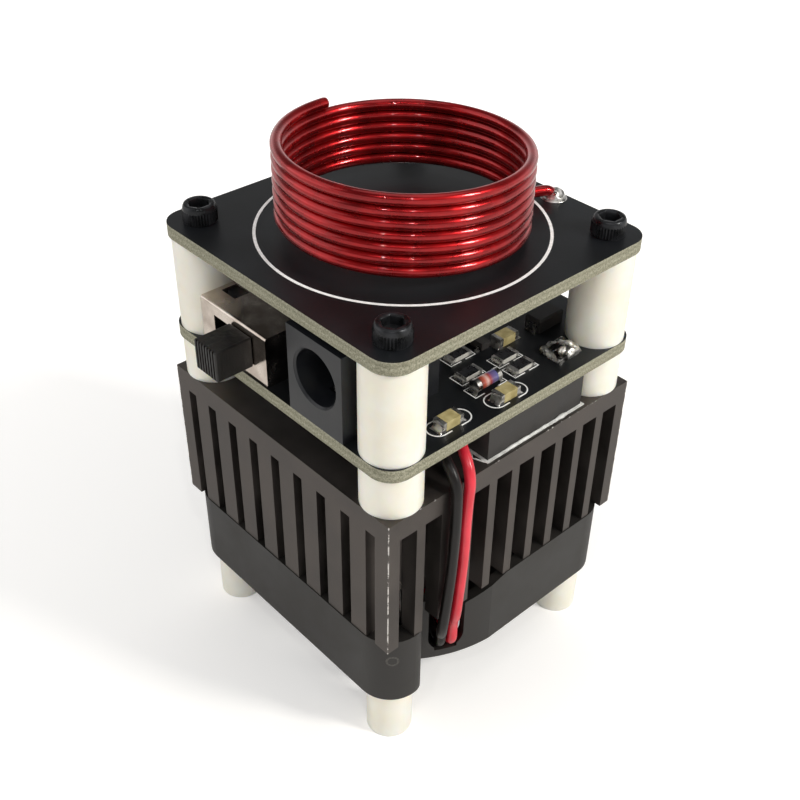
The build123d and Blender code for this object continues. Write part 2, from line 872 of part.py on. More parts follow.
def fan_frame():
    """Square frame with a round duct, one side cut back to the duct's wall, and struts to the hub."""
    outline = RectangleRounded(fan_side, fan_side, fan_corner)
    frame = extrude(Pos(0, 0, fan_bottom) * outline, amount=fan_thickness)
    z0 = fan_bottom - overcut
    z1 = sink_bottom + overcut
    half = fan_side / 2
    post_end = post_length - half
    frame -= block(0, half + overcut, post_end, 0, z0, z1) - rod(centre, z0, z1, wall_radius)
    uprights = frame.edges().filter_by(Axis.Z)
    post_edge = uprights.sort_by_distance((half, post_end, plate_top))[0]
    frame = fillet(post_edge, post_length - fan_corner - post_flat)
    frame -= rod(centre, z0, z1, duct_radius)
    for place in corners(fan_screw_at):
        frame -= rod(place, z0, z1, fan_hole_radius)

    strut_top = fan_bottom + strut_height
    strut_end = duct_radius + duct_wall / 2
    for number in range(strut_count):
        angle = lead_strut_angle + number * 360 / strut_count
        width = strut_width if number else lead_trough_width + 2 * lead_trough_wall
        frame += spoke(angle, boss_radius, strut_end, width, fan_bottom, strut_top)
    trough_top = strut_top + overcut
    frame -= rod(centre, plate_top, trough_top, hub_plate_radius)
    frame += rod(centre, fan_bottom, plate_top, hub_plate_radius)
    frame -= spoke(lead_strut_angle, circuit_radius, fan_side, lead_trough_width, plate_top, trough_top)
    for cut in lead_notch():
        frame -= cut

    frame += rod(centre, plate_top - overcut / 2, plate_top + boss_height, boss_radius)
    seat = bearing_radius + bearing_seat_play
    frame -= rod(centre, plate_top, bearing_bottom, bearing_shelf_radius)
    return frame - rod(centre, bearing_bottom, sink_bottom, seat)


def fan_bearing():
    """The sleeve bearing in the boss."""
    return tube(centre, bearing_bottom, bearing_top, bearing_radius, shaft_radius + shaft_play)


def fan_shaft():
    """The shaft, with a groove for its clip."""
    bottom = plate_top + shaft_floor_gap
    top = cup_top - shaft_top_depth
    groove_top = bearing_bottom - clip_gap + clip_play
    groove_bottom = groove_top - clip_thickness - 2 * clip_play
    groove = tube(centre, groove_bottom, groove_top, 2 * shaft_radius, shaft_radius - clip_groove_depth)
    return rod(centre, bottom, top, shaft_radius) - groove


def fan_shaft_clip():
    """The washer that keeps the shaft in its bearing."""
    top = bearing_bottom - clip_gap
    bore = shaft_radius - clip_groove_depth + clip_play
    return tube(centre, top - clip_thickness, top, clip_radius, bore)


def fan_blade(angle):
    """One pitched blade, cut round at its tip."""
    z0 = rotor_bottom
    z1 = z0 + blade_height
    sections = []
    for distance, chord, offset in (
        (cup_radius - cup_wall, blade_chord_root, 0.0),
        (duct_radius + overcut, blade_chord_tip, blade_sweep),
    ):
        low = offset - chord / 2
        high = offset + chord / 2
        corners_of_section = [
            (low, z0),
            (low + blade_thickness, z0),
            (high, z1),
            (high - blade_thickness, z1),
        ]
        face = make_face(Polyline(*corners_of_section, close=True))
        sections.append(Pos(distance, 0, 0) * Plane.YZ.location * face)
    blade = loft(sections, ruled=True)
    return Rot(0, 0, angle) * (blade & rod(centre, z0 - overcut, z1 + overcut, blade_tip_radius))


def fan_rotor():
    """The cup, closed above, with its blades."""
    cup = tube(centre, rotor_bottom, cup_ceiling, cup_radius, cup_radius - cup_wall)
    cup += rod(centre, cup_ceiling, cup_top, cup_radius)
    cup += rod(centre, cup_ceiling - cup_boss_height, cup_ceiling + cup_face / 2, cup_boss_radius)
    for number in range(blade_count):
        blade = fan_blade(number * 360 / blade_count)
        cup += blade - rod(centre, fan_bottom, sink_bottom, cup_radius - cup_wall / 2)
    return cup - rod(centre, fan_bottom, cup_top - shaft_top_depth, shaft_radius + core_fit / 2)


def fan_magnet_ring():
    """The ring magnet inside the cup."""
    bore = magnet_radius - magnet_wall
    return tube(centre, rotor_bottom + magnet_lift, cup_ceiling, magnet_radius, bore)


def fan_stator_core():
    """The laminated core: a ring on the boss, four poles and their shoes."""
    shoe_inner = core_radius - core_shoe
    core = tube(centre, core_bottom, core_top, core_radius, shoe_inner)
    gap_width = 2 * core_radius * sin(radians(pole_gap_angle / 2))
    for number in range(pole_count):
        gap_angle = (number + 0.5) * 360 / pole_count
        core -= spoke(gap_angle, core_ring_radius, cup_radius, gap_width, fan_bottom, sink_bottom)
    core += rod(centre, core_bottom, core_top, core_ring_radius)
    for number in range(pole_count):
        angle = number * 360 / pole_count
        core += spoke(angle, boss_radius, shoe_inner + core_shoe / 2, pole_width, core_bottom, core_top)
    return core - rod(centre, fan_bottom, sink_bottom, boss_radius + core_fit)


def fan_stator_windings():
    """A coil of fine wire round each pole."""
    windings = []
    outer_width = pole_width + 2 * winding_build
    inner_width = pole_width + 2 * winding_play
    r0 = core_ring_radius + winding_margin
    shoe_inner = core_radius - core_shoe
    r1 = sqrt(shoe_inner ** 2 - (outer_width / 2) ** 2) - winding_margin
    for number in range(pole_count):
        angle = number * 360 / pole_count
        full = spoke(angle, r0, r1, outer_width, core_bottom - winding_build, core_top + winding_build)
        z0 = core_bottom - winding_play
        hole = spoke(angle, 0, core_radius, inner_width, z0, core_top + winding_play)
        windings.append(full - hole)
    return windings


def fan_circuit_board():
    """The ring-shaped board under the core."""
    return tube(centre, plate_top, plate_top + circuit_thickness, circuit_radius, boss_radius + core_fit)


# ---- Fan leads ------------------------------------------------------------------------------
lead_drop_radius = wall_radius + lead_wall_gap


def by_strut(radius, side):
    """A place beside the lead strut's middle line, on one side of it."""
    angle = radians(lead_strut_angle)
    shift = side * lead_spread / 2
    return (radius * cos(angle) - shift * sin(angle), radius * sin(angle) + shift * cos(angle))


def fan_lead(name, side, chosen):
    """A lead from the driver board's underside, past the heat sink, into the fan's hub."""
    drop = by_strut(lead_drop_radius, side)
    end = by_strut(lead_end_radius, side)
    points = [Vector(*point) for point in chosen]
    points.append(Vector(*drop, points[-1].Z - lead_drop_fall))
    points.append(Vector(*drop, lead_level))
    points.append(Vector(*end, lead_level))
    radii = []
    for before, corner, after in zip(points, points[1:], points[2:]):
        incoming = corner - before
        outgoing = after - corner
        half_turn = radians(incoming.get_angle(outgoing)) / 2
        first_share = bend_share if radii else 2 * bend_share
        reach = min(first_share * incoming.length, bend_share * outgoing.length)
        radii.append(reach / tan(half_turn))
    radii[-1] = lead_entry_bend
    print(name, "radii", [round(radius, 1) for radius in radii])
    route = FilletPolyline(*points, radius=radii)
    section = Plane(origin=points[0], z_dir=points[1] - points[0]) * Circle(fan_wire / 2)
    lead = sweep(section, path=route)
    share = lead.volume / (route.length * pi * fan_wire ** 2 / 4)
    print(f"{name}: volume over section times length {share:.4f}")
    return lead


def fan_lead_red():
    chosen = [
        (17.0, -7.0, driver_bottom),
        (17.0, -7.0, 42.7),
        (20.75, -8.5, 40.4),
        (20.95, -9.15, 35.4),
        (20.8, -9.0, 27.6),
        (20.8, -9.8, 18.4),
    ]
    return fan_lead("fan_lead_red", 1, chosen)


def fan_lead_black():
    chosen = [
        (16.9, -9.9, driver_bottom),
        (16.9, -9.9, 42.7),
        (20.8, -10.7, 40.4),
        (20.95, -10.75, 34.4),
        (20.8, -11.0, 25.6),
        (20.8, -12.1, 16.9),
    ]
    return fan_lead("fan_lead_black", -1, chosen)


# ---- Feet and long screws -------------------------------------------------------------------
def foot(place):
    """A nylon foot that hides its screw's head in a counterbore."""
    body = tube(place, 0, foot_height, foot_radius, long_screw_radius + foot_bore_play)
    return body - rod(place, -overcut, foot_counterbore_depth, foot_counterbore_radius)


def fan_screw(place):
    """A long screw through a foot and the fan, into the heat sink."""
    head_bottom = foot_counterbore_depth - long_screw_head_height
    head = rod(place, head_bottom, foot_counterbore_depth, long_screw_head_radius)
    slot_top = head_bottom + long_screw_head_height / 2
    long = driver_slot_length
    narrow = driver_slot_width
    for wide, deep in ((long, narrow), (narrow, long)):
        head -= brick(place, wide, deep, head_bottom - overcut, slot_top)
    return head + rod(place, foot_counterbore_depth, sink_bottom + long_screw_bite, long_screw_radius)


# ---- Small parts on the driver board --------------------------------------------------------
def chip(place, length, width, height, cap):
    """A chip part that lies along y: its body and its two end caps."""
    x, y = place
    z1 = driver_top + height
    body = brick(place, width, length - 2 * cap, driver_top, z1)
    end = (length - cap) / 2
    caps = [brick((x, y + side * end), width, cap, driver_top, z1) for side in (-1, 1)]
    return body, caps


def chips(places, length, width, height, cap):
    """Bodies and end caps of several like chips."""
    made = [chip(by_side(place), length, width, height, cap) for place in places]
    bodies = [body for body, caps in made]
    ends = [end for body, caps in made for end in caps]
    return bodies, ends


def lying(place, y0, y1, radius, height):
    """A cylinder that lies along y over the driver board."""
    x, y = by_side(place)
    return Pos(x, y + (y0 + y1) / 2, driver_top + height) * Rot(90, 0, 0) * Cylinder(radius, y1 - y0)


def glass_diode():
    """The glass tube between its caps."""
    half = glass_length / 2 - glass_cap
    return lying(glass_place, -half, half, glass_radius - glass_waist, glass_radius)


def glass_diode_caps():
    """The two metal caps."""
    half = glass_length / 2
    inner = half - glass_cap
    ends = [(-half, -inner), (inner, half)]
    return [lying(glass_place, y0, y1, glass_radius, glass_radius) for y0, y1 in ends]


def rectifier_diode():
    """The moulded block, chamfered above."""
    z0 = driver_top + leg_thickness / 2
    z1 = driver_top + rectifier_height
    body = brick(by_rear(rectifier_place), rectifier_width, rectifier_length, z0, z1)
    return chamfer(body.edges().group_by(Axis.Z)[-1], leg_thickness)


def rectifier_terminals():
    """The two folded terminals at the block's ends."""
    x, y = by_rear(rectifier_place)
    terminals = []
    for side in (-1, 1):
        face = y + side * rectifier_length / 2
        upright_y = face + side * leg_thickness / 2
        foot_y = face + side * rectifier_terminal_foot / 2
        top = driver_top + rectifier_terminal_height
        upright = brick((x, upright_y), rectifier_terminal_width, leg_thickness, driver_top, top)
        foot_top = driver_top + leg_thickness
        toe = brick((x, foot_y), rectifier_terminal_width, rectifier_terminal_foot, driver_top, foot_top)
        terminals.append(upright + toe)
    return terminals


def gate_transistor():
    """A small three-legged transistor's body."""
    z0 = driver_top + leg_thickness / 2
    return brick(by_side(gate_place), gate_length, gate_width, z0, driver_top + gate_height)


def gate_transistor_legs():
    """Two legs on one side and one on the other."""
    x, y = by_side(gate_place)
    legs = []
    for side, shift in ((-1, -gate_leg_pitch), (-1, gate_leg_pitch), (1, 0)):
        face = y + side * gate_width / 2
        rise = face + side * leg_thickness / 2
        toe_y = face + side * gate_leg_reach / 2
        knee_top = driver_top + gate_height / 2
        knee = brick((x + shift, rise), gate_leg_width, leg_thickness, driver_top, knee_top)
        foot_top = driver_top + leg_thickness
        toe = brick((x + shift, toe_y), gate_leg_width, gate_leg_reach, driver_top, foot_top)
        legs.append(knee + toe)
    return legs


def solder_lump():
    """A part that is drowned in solder."""
    x, y = by_rear(lump_place)
    outline = RectangleRounded(lump_width, lump_length, lump_width / 3)
    lump = extrude(Pos(x, y, driver_top) * outline, amount=lump_height)
    return fillet(lump.edges().group_by(Axis.Z)[-1], lump_round)


choke_y = frame_screw_at - choke_screw_distance
choke_place = (choke_x, choke_y)
capacitor_y = choke_y - choke_flange_radius - capacitor_choke_gap - capacitor_base_side / 2
capacitor_place = (capacitor_x, capacitor_y)


def choke_core():
    """The drum core: two flanges and the post between them."""
    top = driver_top + choke_height
    core = rod(choke_place, driver_top, driver_top + choke_flange, choke_flange_radius)
    core += rod(choke_place, driver_top, top, choke_drum_radius)
    return core + rod(choke_place, top - choke_flange, top, choke_flange_radius)


def choke_winding():
    """The wound sleeve between the flanges."""
    z0 = driver_top + choke_flange
    z1 = driver_top + choke_height - choke_flange - choke_play
    return tube(choke_place, z0, z1, choke_winding_radius, choke_drum_radius + choke_play)


def bulk_capacitor_base():
    """The square plastic base."""
    side = capacitor_base_side
    return brick(capacitor_place, side, side, driver_top, driver_top + capacitor_base_height)


def bulk_capacitor_can():
    """The round can, rounded above."""
    z0 = driver_top + capacitor_base_height
    can = rod(capacitor_place, z0, driver_top + capacitor_height, capacitor_radius)
    return fillet(can.edges().group_by(Axis.Z)[-1], capacitor_round)


# ---- Writing the nodes ----------------------------------------------------------------------
os.makedirs("parts", exist_ok=True)

save("coil_winding", coil_winding())
save("coil_solder_joint", coil_solder_joint())
save("coil_board", coil_board())
save("upper_spacers", *spacers(driver_top, upper_spacer_height))
save("lower_spacers", *spacers(sink_top, lower_spacer_height))
save("frame_screws", *[frame_screw(place) for place in corners(frame_screw_at)])
save("driver_board", driver_board())
save("link_wire", link_wire())
save("board_solder_joints", *board_solder_joints())

save("dc_jack_housing", dc_jack_housing())
save("dc_jack_pin", dc_jack_pin())
save("dc_jack_contacts", *dc_jack_contacts())
save("switch_can", switch_can())
save("switch_base", switch_base())
save("switch_pins", *switch_pins())
save("switch_knob", switch_knob())
save("switch_bridge", switch_bridge())

save("power_transistor_body", power_transistor_body())
save("power_transistor_tab", power_transistor_tab())
save("power_transistor_leads", *power_transistor_leads())
save("thermal_paste", thermal_paste())
save("heatsink", heatsink())

save("fan_frame", fan_frame())
save("fan_bearing", fan_bearing())
save("fan_shaft", fan_shaft())
save("fan_shaft_clip", fan_shaft_clip())
save("fan_rotor", fan_rotor())
save("fan_magnet_ring", fan_magnet_ring())
save("fan_stator_core", fan_stator_core())
save("fan_stator_windings", *fan_stator_windings())
save("fan_circuit_board", fan_circuit_board())
save("fan_lead_red", fan_lead_red())
save("fan_lead_black", fan_lead_black())
save("fan_screws", *[fan_screw(place) for place in corners(fan_screw_at)])
save("feet", *[foot(place) for place in corners(fan_screw_at)])

ceramic_bodies, ceramic_ends = chips(
    ceramic_places, ceramic_length, ceramic_width, ceramic_height, ceramic_cap
)
resistor_bodies, resistor_ends = chips(
    resistor_places, resistor_length, resistor_width, resistor_height, resistor_cap
)
save("ceramic_capacitors", *ceramic_bodies)
save("capacitor_end_caps", *ceramic_ends)
save("chip_resistors", *resistor_bodies)
save("resistor_end_caps", *resistor_ends)
save("glass_diode", glass_diode())
save("glass_diode_caps", *glass_diode_caps())
save("rectifier_diode", rectifier_diode())
save("rectifier_terminals", *rectifier_terminals())
save("gate_transistor", gate_transistor())
save("gate_transistor_legs", *gate_transistor_legs())
save("solder_lump", solder_lump())
save("choke_core", choke_core())
save("choke_winding", choke_winding())
save("bulk_capacitor_can", bulk_capacitor_can())
save("bulk_capacitor_base", bulk_capacitor_base())
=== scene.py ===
# %% [markdown]
# # Dressing a desktop resonant transformer
#
# The object is a small tower, 40 mm square and 70 mm tall: a coil of red enamelled wire on a
# black circuit board, a second board with a power socket and a slide switch, a finned heat
# sink, and a fan on four feet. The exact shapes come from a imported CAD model. This lesson
# puts a camera and lamps round it, gives each part its real finish, and builds the pieces
# whose charm is in their small detail: the wire, the knurled screws, the solder and the print.

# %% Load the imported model
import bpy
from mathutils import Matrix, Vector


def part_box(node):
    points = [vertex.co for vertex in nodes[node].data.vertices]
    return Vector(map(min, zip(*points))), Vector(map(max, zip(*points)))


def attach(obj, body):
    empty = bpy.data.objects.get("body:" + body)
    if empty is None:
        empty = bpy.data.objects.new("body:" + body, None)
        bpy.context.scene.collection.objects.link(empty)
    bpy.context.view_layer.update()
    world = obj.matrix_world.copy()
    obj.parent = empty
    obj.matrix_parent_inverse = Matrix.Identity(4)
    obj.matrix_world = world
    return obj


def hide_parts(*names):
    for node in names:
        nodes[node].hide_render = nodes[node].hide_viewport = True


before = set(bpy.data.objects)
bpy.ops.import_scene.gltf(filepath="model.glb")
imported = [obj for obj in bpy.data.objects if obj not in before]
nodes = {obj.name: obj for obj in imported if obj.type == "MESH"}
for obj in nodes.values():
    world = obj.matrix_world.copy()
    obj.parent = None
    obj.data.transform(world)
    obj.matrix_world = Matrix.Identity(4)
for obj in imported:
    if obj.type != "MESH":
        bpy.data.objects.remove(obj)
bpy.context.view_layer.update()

from types import SimpleNamespace
from math import asin, atan2, ceil, cos, hypot, pi, radians, sin, tan
import bmesh
import bpy
from mathutils import Matrix, Vector, noise

MM = 0.001

# %% [markdown]
# ## The camera
#
# A photograph fixes where the camera stood: lines that are parallel on the object run together
# in the picture. The camera could be placed by eye, but it was worked out from the corners of
# the boards, so the picture and the model can be laid over each other. It looks down at the
# front corner from 35 degrees, at a distance of only 140 mm, so the lens matters as much as the
# angle.

# %% Place the camera
def toward(azimuth, elevation):
    """The direction of a lamp or camera. Azimuth 0 is the socket's side, 90 the leads' side."""
    a, e = radians(azimuth), radians(elevation)
    return Vector((sin(a) * cos(e), -cos(a) * cos(e), sin(e)))


upright = Vector((0, 0, 1))
look_at = Vector((0, 0, 39.3)) * MM
view_from = toward(47.069, 35.475)
camera_distance = 139.81
aim_right, aim_up, roll = radians(-0.02), radians(-1.561), radians(0.883)

ahead = -view_from
right = ahead.cross(upright).normalized()
up = right.cross(ahead)
ahead = (ahead + tan(aim_right) * right + tan(aim_up) * up).normalized()
right = ahead.cross(upright).normalized()
up = right.cross(ahead)
across = cos(roll) * right + sin(roll) * up
over = cos(roll) * up - sin(roll) * right

camera = bpy.data.objects.new("camera", bpy.data.cameras.new("camera"))
bpy.context.scene.collection.objects.link(camera)
camera.matrix_world = Matrix.LocRotScale(
    look_at + view_from * camera_distance * MM,
    Matrix((across, over, -ahead)).transposed().to_quaternion(),
    None,
)
camera.data.lens = 50.51
camera.data.sensor_width = 36.0
camera.data.clip_start = 5 * MM
bpy.context.scene.camera = camera
print("camera at", [round(value / MM, 2) for value in camera.location], "mm")

# %% [markdown]
# ## Three small helpers for materials
#
# A material in Blender is a graph of nodes. Colours are picked as sRGB hex values, as a
# painter would read them off a swatch, and one function turns them to the linear values that
# the renderer needs. One more function adds a node with its settings and links. The third
# starts a material from its common numbers: colour, roughness and metallic.

# %% Helpers for materials
def linear(code):
    """Turn an sRGB hex colour such as #AABBCC into linear red, green, blue and alpha."""
    shares = [int(code[start:start + 2], 16) / 255 for start in (1, 3, 5)]
    return tuple(s / 12.92 if s <= 0.04045 else ((s + 0.055) / 1.055) ** 2.4 for s in shares) + (1.0,)


def add(material, kind, inputs=None, **settings):
    """Add one shader node. Each input gets a link if the value is a socket, or else the value."""
    tree = material.node_tree
    node = tree.nodes.new("ShaderNode" + kind)
    for name, value in settings.items():
        setattr(node, name, value)
    for name, value in (inputs or {}).items():
        if isinstance(value, bpy.types.NodeSocket):
            tree.links.new(value, node.inputs[name])
        else:
            node.inputs[name].default_value = value
    return node


def finish(name, colour, roughness, metallic=0.0, **sockets):
    """A material with one Principled shader. Other sockets are named with underscores."""
    material = bpy.data.materials.new(name)
    material.use_nodes = True
    shader = material.node_tree.nodes["Principled BSDF"]
    shader.inputs["Base Color"].default_value = linear(colour)
    shader.inputs["Roughness"].default_value = roughness
    shader.inputs["Metallic"].default_value = metallic
    for socket, value in sockets.items():
        shader.inputs[socket.replace("_", " ")].default_value = value
    return material, shader


print("white is", linear("#FFFFFF"))

# %% [markdown]
# ## What nearly every real surface has
#
# No real surface is one even colour with one even gloss. Handling, moulding and plating leave
# soft patches, a fine grain, and a gloss that comes and goes. This helper gives a surface all
# three from two noise patterns. Their sizes are real sizes in millimetres, so the grain of a
# 2 mm screw and of a 40 mm fan frame come out at their true scale. The nodes use the object's
# own coordinates, because those don't slide when the camera moves.

# %% Patches, grain and varying gloss
# Blender's noise seldom leaves the range from 0.35 to 0.65, so that range is stretched
noise_low, noise_high = 0.35, 0.65


def uneven(material, shader, light, dark, patch, grain, height, smooth, rough):
    """Patches between two colours, a grain that stands height mm proud, and a gloss range."""
    place = add(material, "TexCoord").outputs["Object"]
    patches = add(material, "TexNoise", {"Vector": place, "Scale": 1 / (patch * MM), "Detail": 4.0})
    stretch = {"Value": patches.outputs[0], "From Min": noise_low, "From Max": noise_high}
    share = add(material, "MapRange", stretch)
    tint = add(
        material, "Mix", {0: share.outputs[0], 6: linear(dark), 7: linear(light)}, data_type="RGBA"
    )
    gloss = add(material, "MapRange", {**stretch, "To Min": smooth, "To Max": rough})
    grains = add(material, "TexNoise", {"Vector": place, "Scale": 1 / (grain * MM), "Detail": 2.0})
    bump = add(material, "Bump", {"Height": grains.outputs[0], "Distance": height * MM})
    link = material.node_tree.links.new
    link(tint.outputs[2], shader.inputs["Base Color"])
    link(gloss.outputs[0], shader.inputs["Roughness"])
    link(bump.outputs[0], shader.inputs["Normal"])
    return SimpleNamespace(
        place=place, tint=tint.outputs[2], grains=grains.outputs[0], normal=bump.outputs[0]
    )


def dress(names, material):
    """Put a material on CAD nodes. Only the material changes, never the shape."""
    for name in names.split():
        mesh = nodes[name].data
        mesh.materials.clear()
        mesh.materials.append(material)
    print(material.name, "on", names)


# %% [markdown]
# ## Helpers for meshes
#
# Most small pieces here are rings of points joined by four-sided faces: a wire is rings along
# a path, a screw is rings stacked on an axis, and a drop of solder is rings that shrink to its
# top. Curve objects with a bevel would also give a wire, but rings in a mesh can swell, wobble
# and close with a rounded end.

# %% Helpers for meshes
def loft(mesh, rings):
    """Join rings of equal count, in order, and close both ends."""
    layers = [[mesh.verts.new(point) for point in ring] for ring in rings]
    for low, high in zip(layers, layers[1:]):
        for one in range(len(low)):
            two = (one + 1) % len(low)
            mesh.faces.new((low[one], low[two], high[two], high[one]))
    mesh.faces.new(list(reversed(layers[0])))
    mesh.faces.new(layers[-1])


def rings_along(points, radii, sides):
    """Rings round a path, carried along it without twist."""
    rings = []
    over = None
    for number, point in enumerate(points):
        before = points[max(number - 1, 0)]
        after = points[min(number + 1, len(points) - 1)]
        ahead = (after - before).normalized()
        over = ahead.orthogonal() if over is None else over
        over = (over - ahead * over.dot(ahead)).normalized()
        aside = ahead.cross(over)
        turn = [2 * pi * side / sides for side in range(sides)]
        rings.append([point + (over * cos(t) + aside * sin(t)) * radii[number] for t in turn])
    return rings


sharp_angle = radians(40)


def piece(name, mesh, material, stands_for=(), body="base"):
    """Finish a mesh in millimetres as a piece that rides on a CAD body."""
    bmesh.ops.scale(mesh, vec=(MM, MM, MM), verts=mesh.verts)
    bmesh.ops.recalc_face_normals(mesh, faces=mesh.faces)
    data = bpy.data.meshes.new(name)
    mesh.to_mesh(data)
    mesh.free()
    data.materials.append(material)
    data.shade_smooth()
    data.set_sharp_from_angle(angle=sharp_angle)
    thing = bpy.data.objects.new(name, data)
    bpy.context.scene.collection.objects.link(thing)
    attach(thing, body)
    if stands_for:
        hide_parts(*stands_for)
    print(name, "has", len(data.polygons), "faces")


def level(name, high=True):
    """The top or bottom of a CAD node, in millimetres."""
    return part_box(name)[1 if high else 0][2] / MM


deck = level("coil_board")
driver_top = level("driver_board")
sink_top = level("heatsink")
print("levels:", round(deck, 2), round(driver_top, 2), round(sink_top, 2))

# %% [markdown]
# ## The coil's wire
#
# The coil is magnet wire: copper with a baked coat of clear red enamel. The eye sees metal
# through a red window, so the colour belongs to the metal's own reflection, and the coat adds
# small white highlights on top. A plain red plastic would look like a toy here, so the
# material is mostly metallic, with a clear coat.

# %% Red enamel over copper
red_enamel, shader = finish(
    "red_enamel_over_copper", "#A81015", 0.3, 0.8, Coat_Weight=0.6, Coat_Roughness=0.06, Coat_IOR=1.5
)
# The baked coat has soft runs: 3 mm patches, and a grain of 0.4 mm that is under 0.001 mm high
uneven(red_enamel, shader, "#B61217", "#8E0A0F", 3.0, 0.4, 0.0007, 0.24, 0.32)

# %% [markdown]
# The real wire is 1.35 mm thick and its turns touch. It was wound by hand on a former 26 mm
# across, so each turn wanders a little. The path is the same winding that the CAD model has:
# not quite seven turns that sink 1.352 mm a turn, then a lead that is bent outward behind the
# coil and dips into its pad. The tube could be a bevelled curve, but here its rings are placed
# one by one, which allows the wander and the rounded end where the wire was nipped off.

# %% The coil's path
coil_radius = 13.87
coil_pitch = 1.352
coil_height = 10.45
wire_radius = 0.668
coil_start = radians(178.0)
# The top leans: it rises this much for each millimetre along x and y
lean_x, lean_y = 0.0097, -0.0336
wander_size, wander_rate = 0.05, 0.9
pad = Vector((6.4, 18.5, 0.0))
lead_lift = 1.0
lead_turn = 1.9
lead_bend = 1.3
lead_depth = 2.5
whole_turns = 7
coil_end = atan2(pad.y, pad.x) - asin(lead_turn / hypot(pad.x, pad.y)) + whole_turns * 2 * pi


def coil_point(angle):
    """A point of the winding. It leans a little, as the real one does."""
    wander = wander_size * noise.noise(Vector((angle * wander_rate, 3.1, 0.0)))
    x = (coil_radius + wander) * cos(angle)
    y = (coil_radius + wander) * sin(angle)
    sunk = coil_pitch * (angle - coil_start) / (2 * pi)
    return Vector((x, y, deck + coil_height - sunk + lean_x * x + lean_y * y))


def coil_lead():
    """A bend outward from the last turn, a run to the pad, then a bend down through the board."""
    start = coil_point(coil_end)
    outward = Vector((cos(coil_end), sin(coil_end), 0))
    forward = Vector((-outward.y, outward.x, 0))
    end = Vector((pad.x, pad.y, deck + lead_lift)) - outward * lead_bend
    sink = end.z - start.z
    turn_steps, run_steps, bend_steps = 10, 4, 8
    points = []
    for step in range(1, turn_steps + 1):
        turn = step / turn_steps * pi / 2
        round_bend = outward * lead_turn * (1 - cos(turn)) + forward * lead_turn * sin(turn)
        points.append(start + round_bend + upright * sink * step / turn_steps)
    points += [points[-1].lerp(end, step / run_steps) for step in range(1, run_steps + 1)]
    for step in range(1, bend_steps + 1):
        turn = step / bend_steps * pi / 2
        points.append(end + outward * lead_bend * sin(turn) - upright * lead_bend * (1 - cos(turn)))
    points.append(Vector((pad.x, pad.y, deck - lead_depth)))
    return points


wound_angle = coil_end - coil_start
step_angle = radians(3.0)
steps = ceil(wound_angle / step_angle)
coil_path = [coil_point(coil_start + wound_angle * step / steps) for step in range(steps + 1)]
coil_path += coil_lead()
walked = sum((b - a).length for a, b in zip(coil_path, coil_path[1:]))
print("wire path:", len(coil_path), "points,", round(walked, 1), "mm")

# %% Build the wire
# The nipped end is rounded over its first 0.3 mm: (distance from the end, share of the radius)
rounding = ((0.0, 0.72), (0.1, 0.92), (0.3, 1.0))
wire_sides = 20
first = coil_path[0]
along = (coil_path[1] - first).normalized()
coil_path[0:1] = [first + along * distance for distance, share in rounding]
radii = [wire_radius] * len(coil_path)
radii[0:3] = [wire_radius * share for distance, share in rounding]
mesh = bmesh.new()
loft(mesh, rings_along(coil_path, radii, wire_sides))
piece("coil_wire", mesh, red_enamel, ["coil_winding"])

# %% [markdown]
# ## Solder
#
# Solder is tin alloy that froze from a melt: bright where the skin is smooth, with small
# wrinkles where it cooled fast. It is a metal, so it needs something to mirror; the bump gives
# it wrinkles of a third to half a millimetre.

# %% Frozen solder
solder, shader = finish("bright_solder", "#E0DED9", 0.2, 1.0)
uneven(solder, shader, "#F2F0EC", "#CFCCC6", 0.8, 0.35, 0.012, 0.22, 0.42)
dress("board_solder_joints capacitor_end_caps resistor_end_caps", solder)


mound_levels, mound_sides = 12, 48
ripple_rate, ripple_sideways = 1.3, 0.3


def mound(mesh, x, y, z, long_x, long_y, height, ripple, seed, power):
    """A frozen drop on a board: rings that shrink upward, rippled by noise. Power 2 is round."""
    rings = []
    for step in range(mound_levels + 1):
        t = step / mound_levels
        share = cos(t * pi / 2) ** 0.8 if step < mound_levels else 0.02
        ring = []
        for side in range(mound_sides):
            a = 2 * pi * side / mound_sides
            c, s = cos(a), sin(a)
            wide = (abs(c) ** power + abs(s) ** power) ** (-1 / power)
            across, along = c * wide * share * long_x / 2, s * wide * share * long_y / 2
            at = Vector((across, along, height * sin(t * pi / 2)))
            push = noise.noise(Vector((at.x + seed, at.y - seed, at.z)) * ripple_rate)
            rise = ripple * push * min(1.0, 3 * t)
            swell = 1 + rise * ripple_sideways
            ring.append(Vector((x + at.x * swell, y + at.y * swell, z + at.z + rise * height)))
        rings.append(ring)
    loft(mesh, rings)


# %% [markdown]
# The coil's lead ends in a generous drop of solder that climbs round the wire. Beside the right
# spacer a soldered part is nearly buried under a crinkled lump. Both are rings of points that
# shrink to the top, pushed about by noise, which is how a drop freezes round what it holds.

# %% The coil's joint and the soldered lump
mesh = bmesh.new()
mound(mesh, pad.x, pad.y, deck, 2.7, 2.6, 1.05, 0.25, 4.0, 2.0)
mound(mesh, pad.x, pad.y, deck, 3.3, 3.1, 0.18, 0.15, 9.0, 2.0)
piece("coil_drop", mesh, solder, ["coil_solder_joint"])

crinkled, shader = finish("crinkled_solder", "#CFCBC3", 0.2, 1.0)
uneven(crinkled, shader, "#F4F1EA", "#2E2C2A", 0.9, 0.5, 0.05, 0.16, 0.42)
low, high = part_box("solder_lump")
middle = (low + high) / 2 / MM
mesh = bmesh.new()
mound(mesh, middle.x, middle.y, driver_top, 3.4, 4.3, 1.15, 0.4, 1.7, 8.0)
piece("solder_mound", mesh, crinkled, ["solder_lump"])

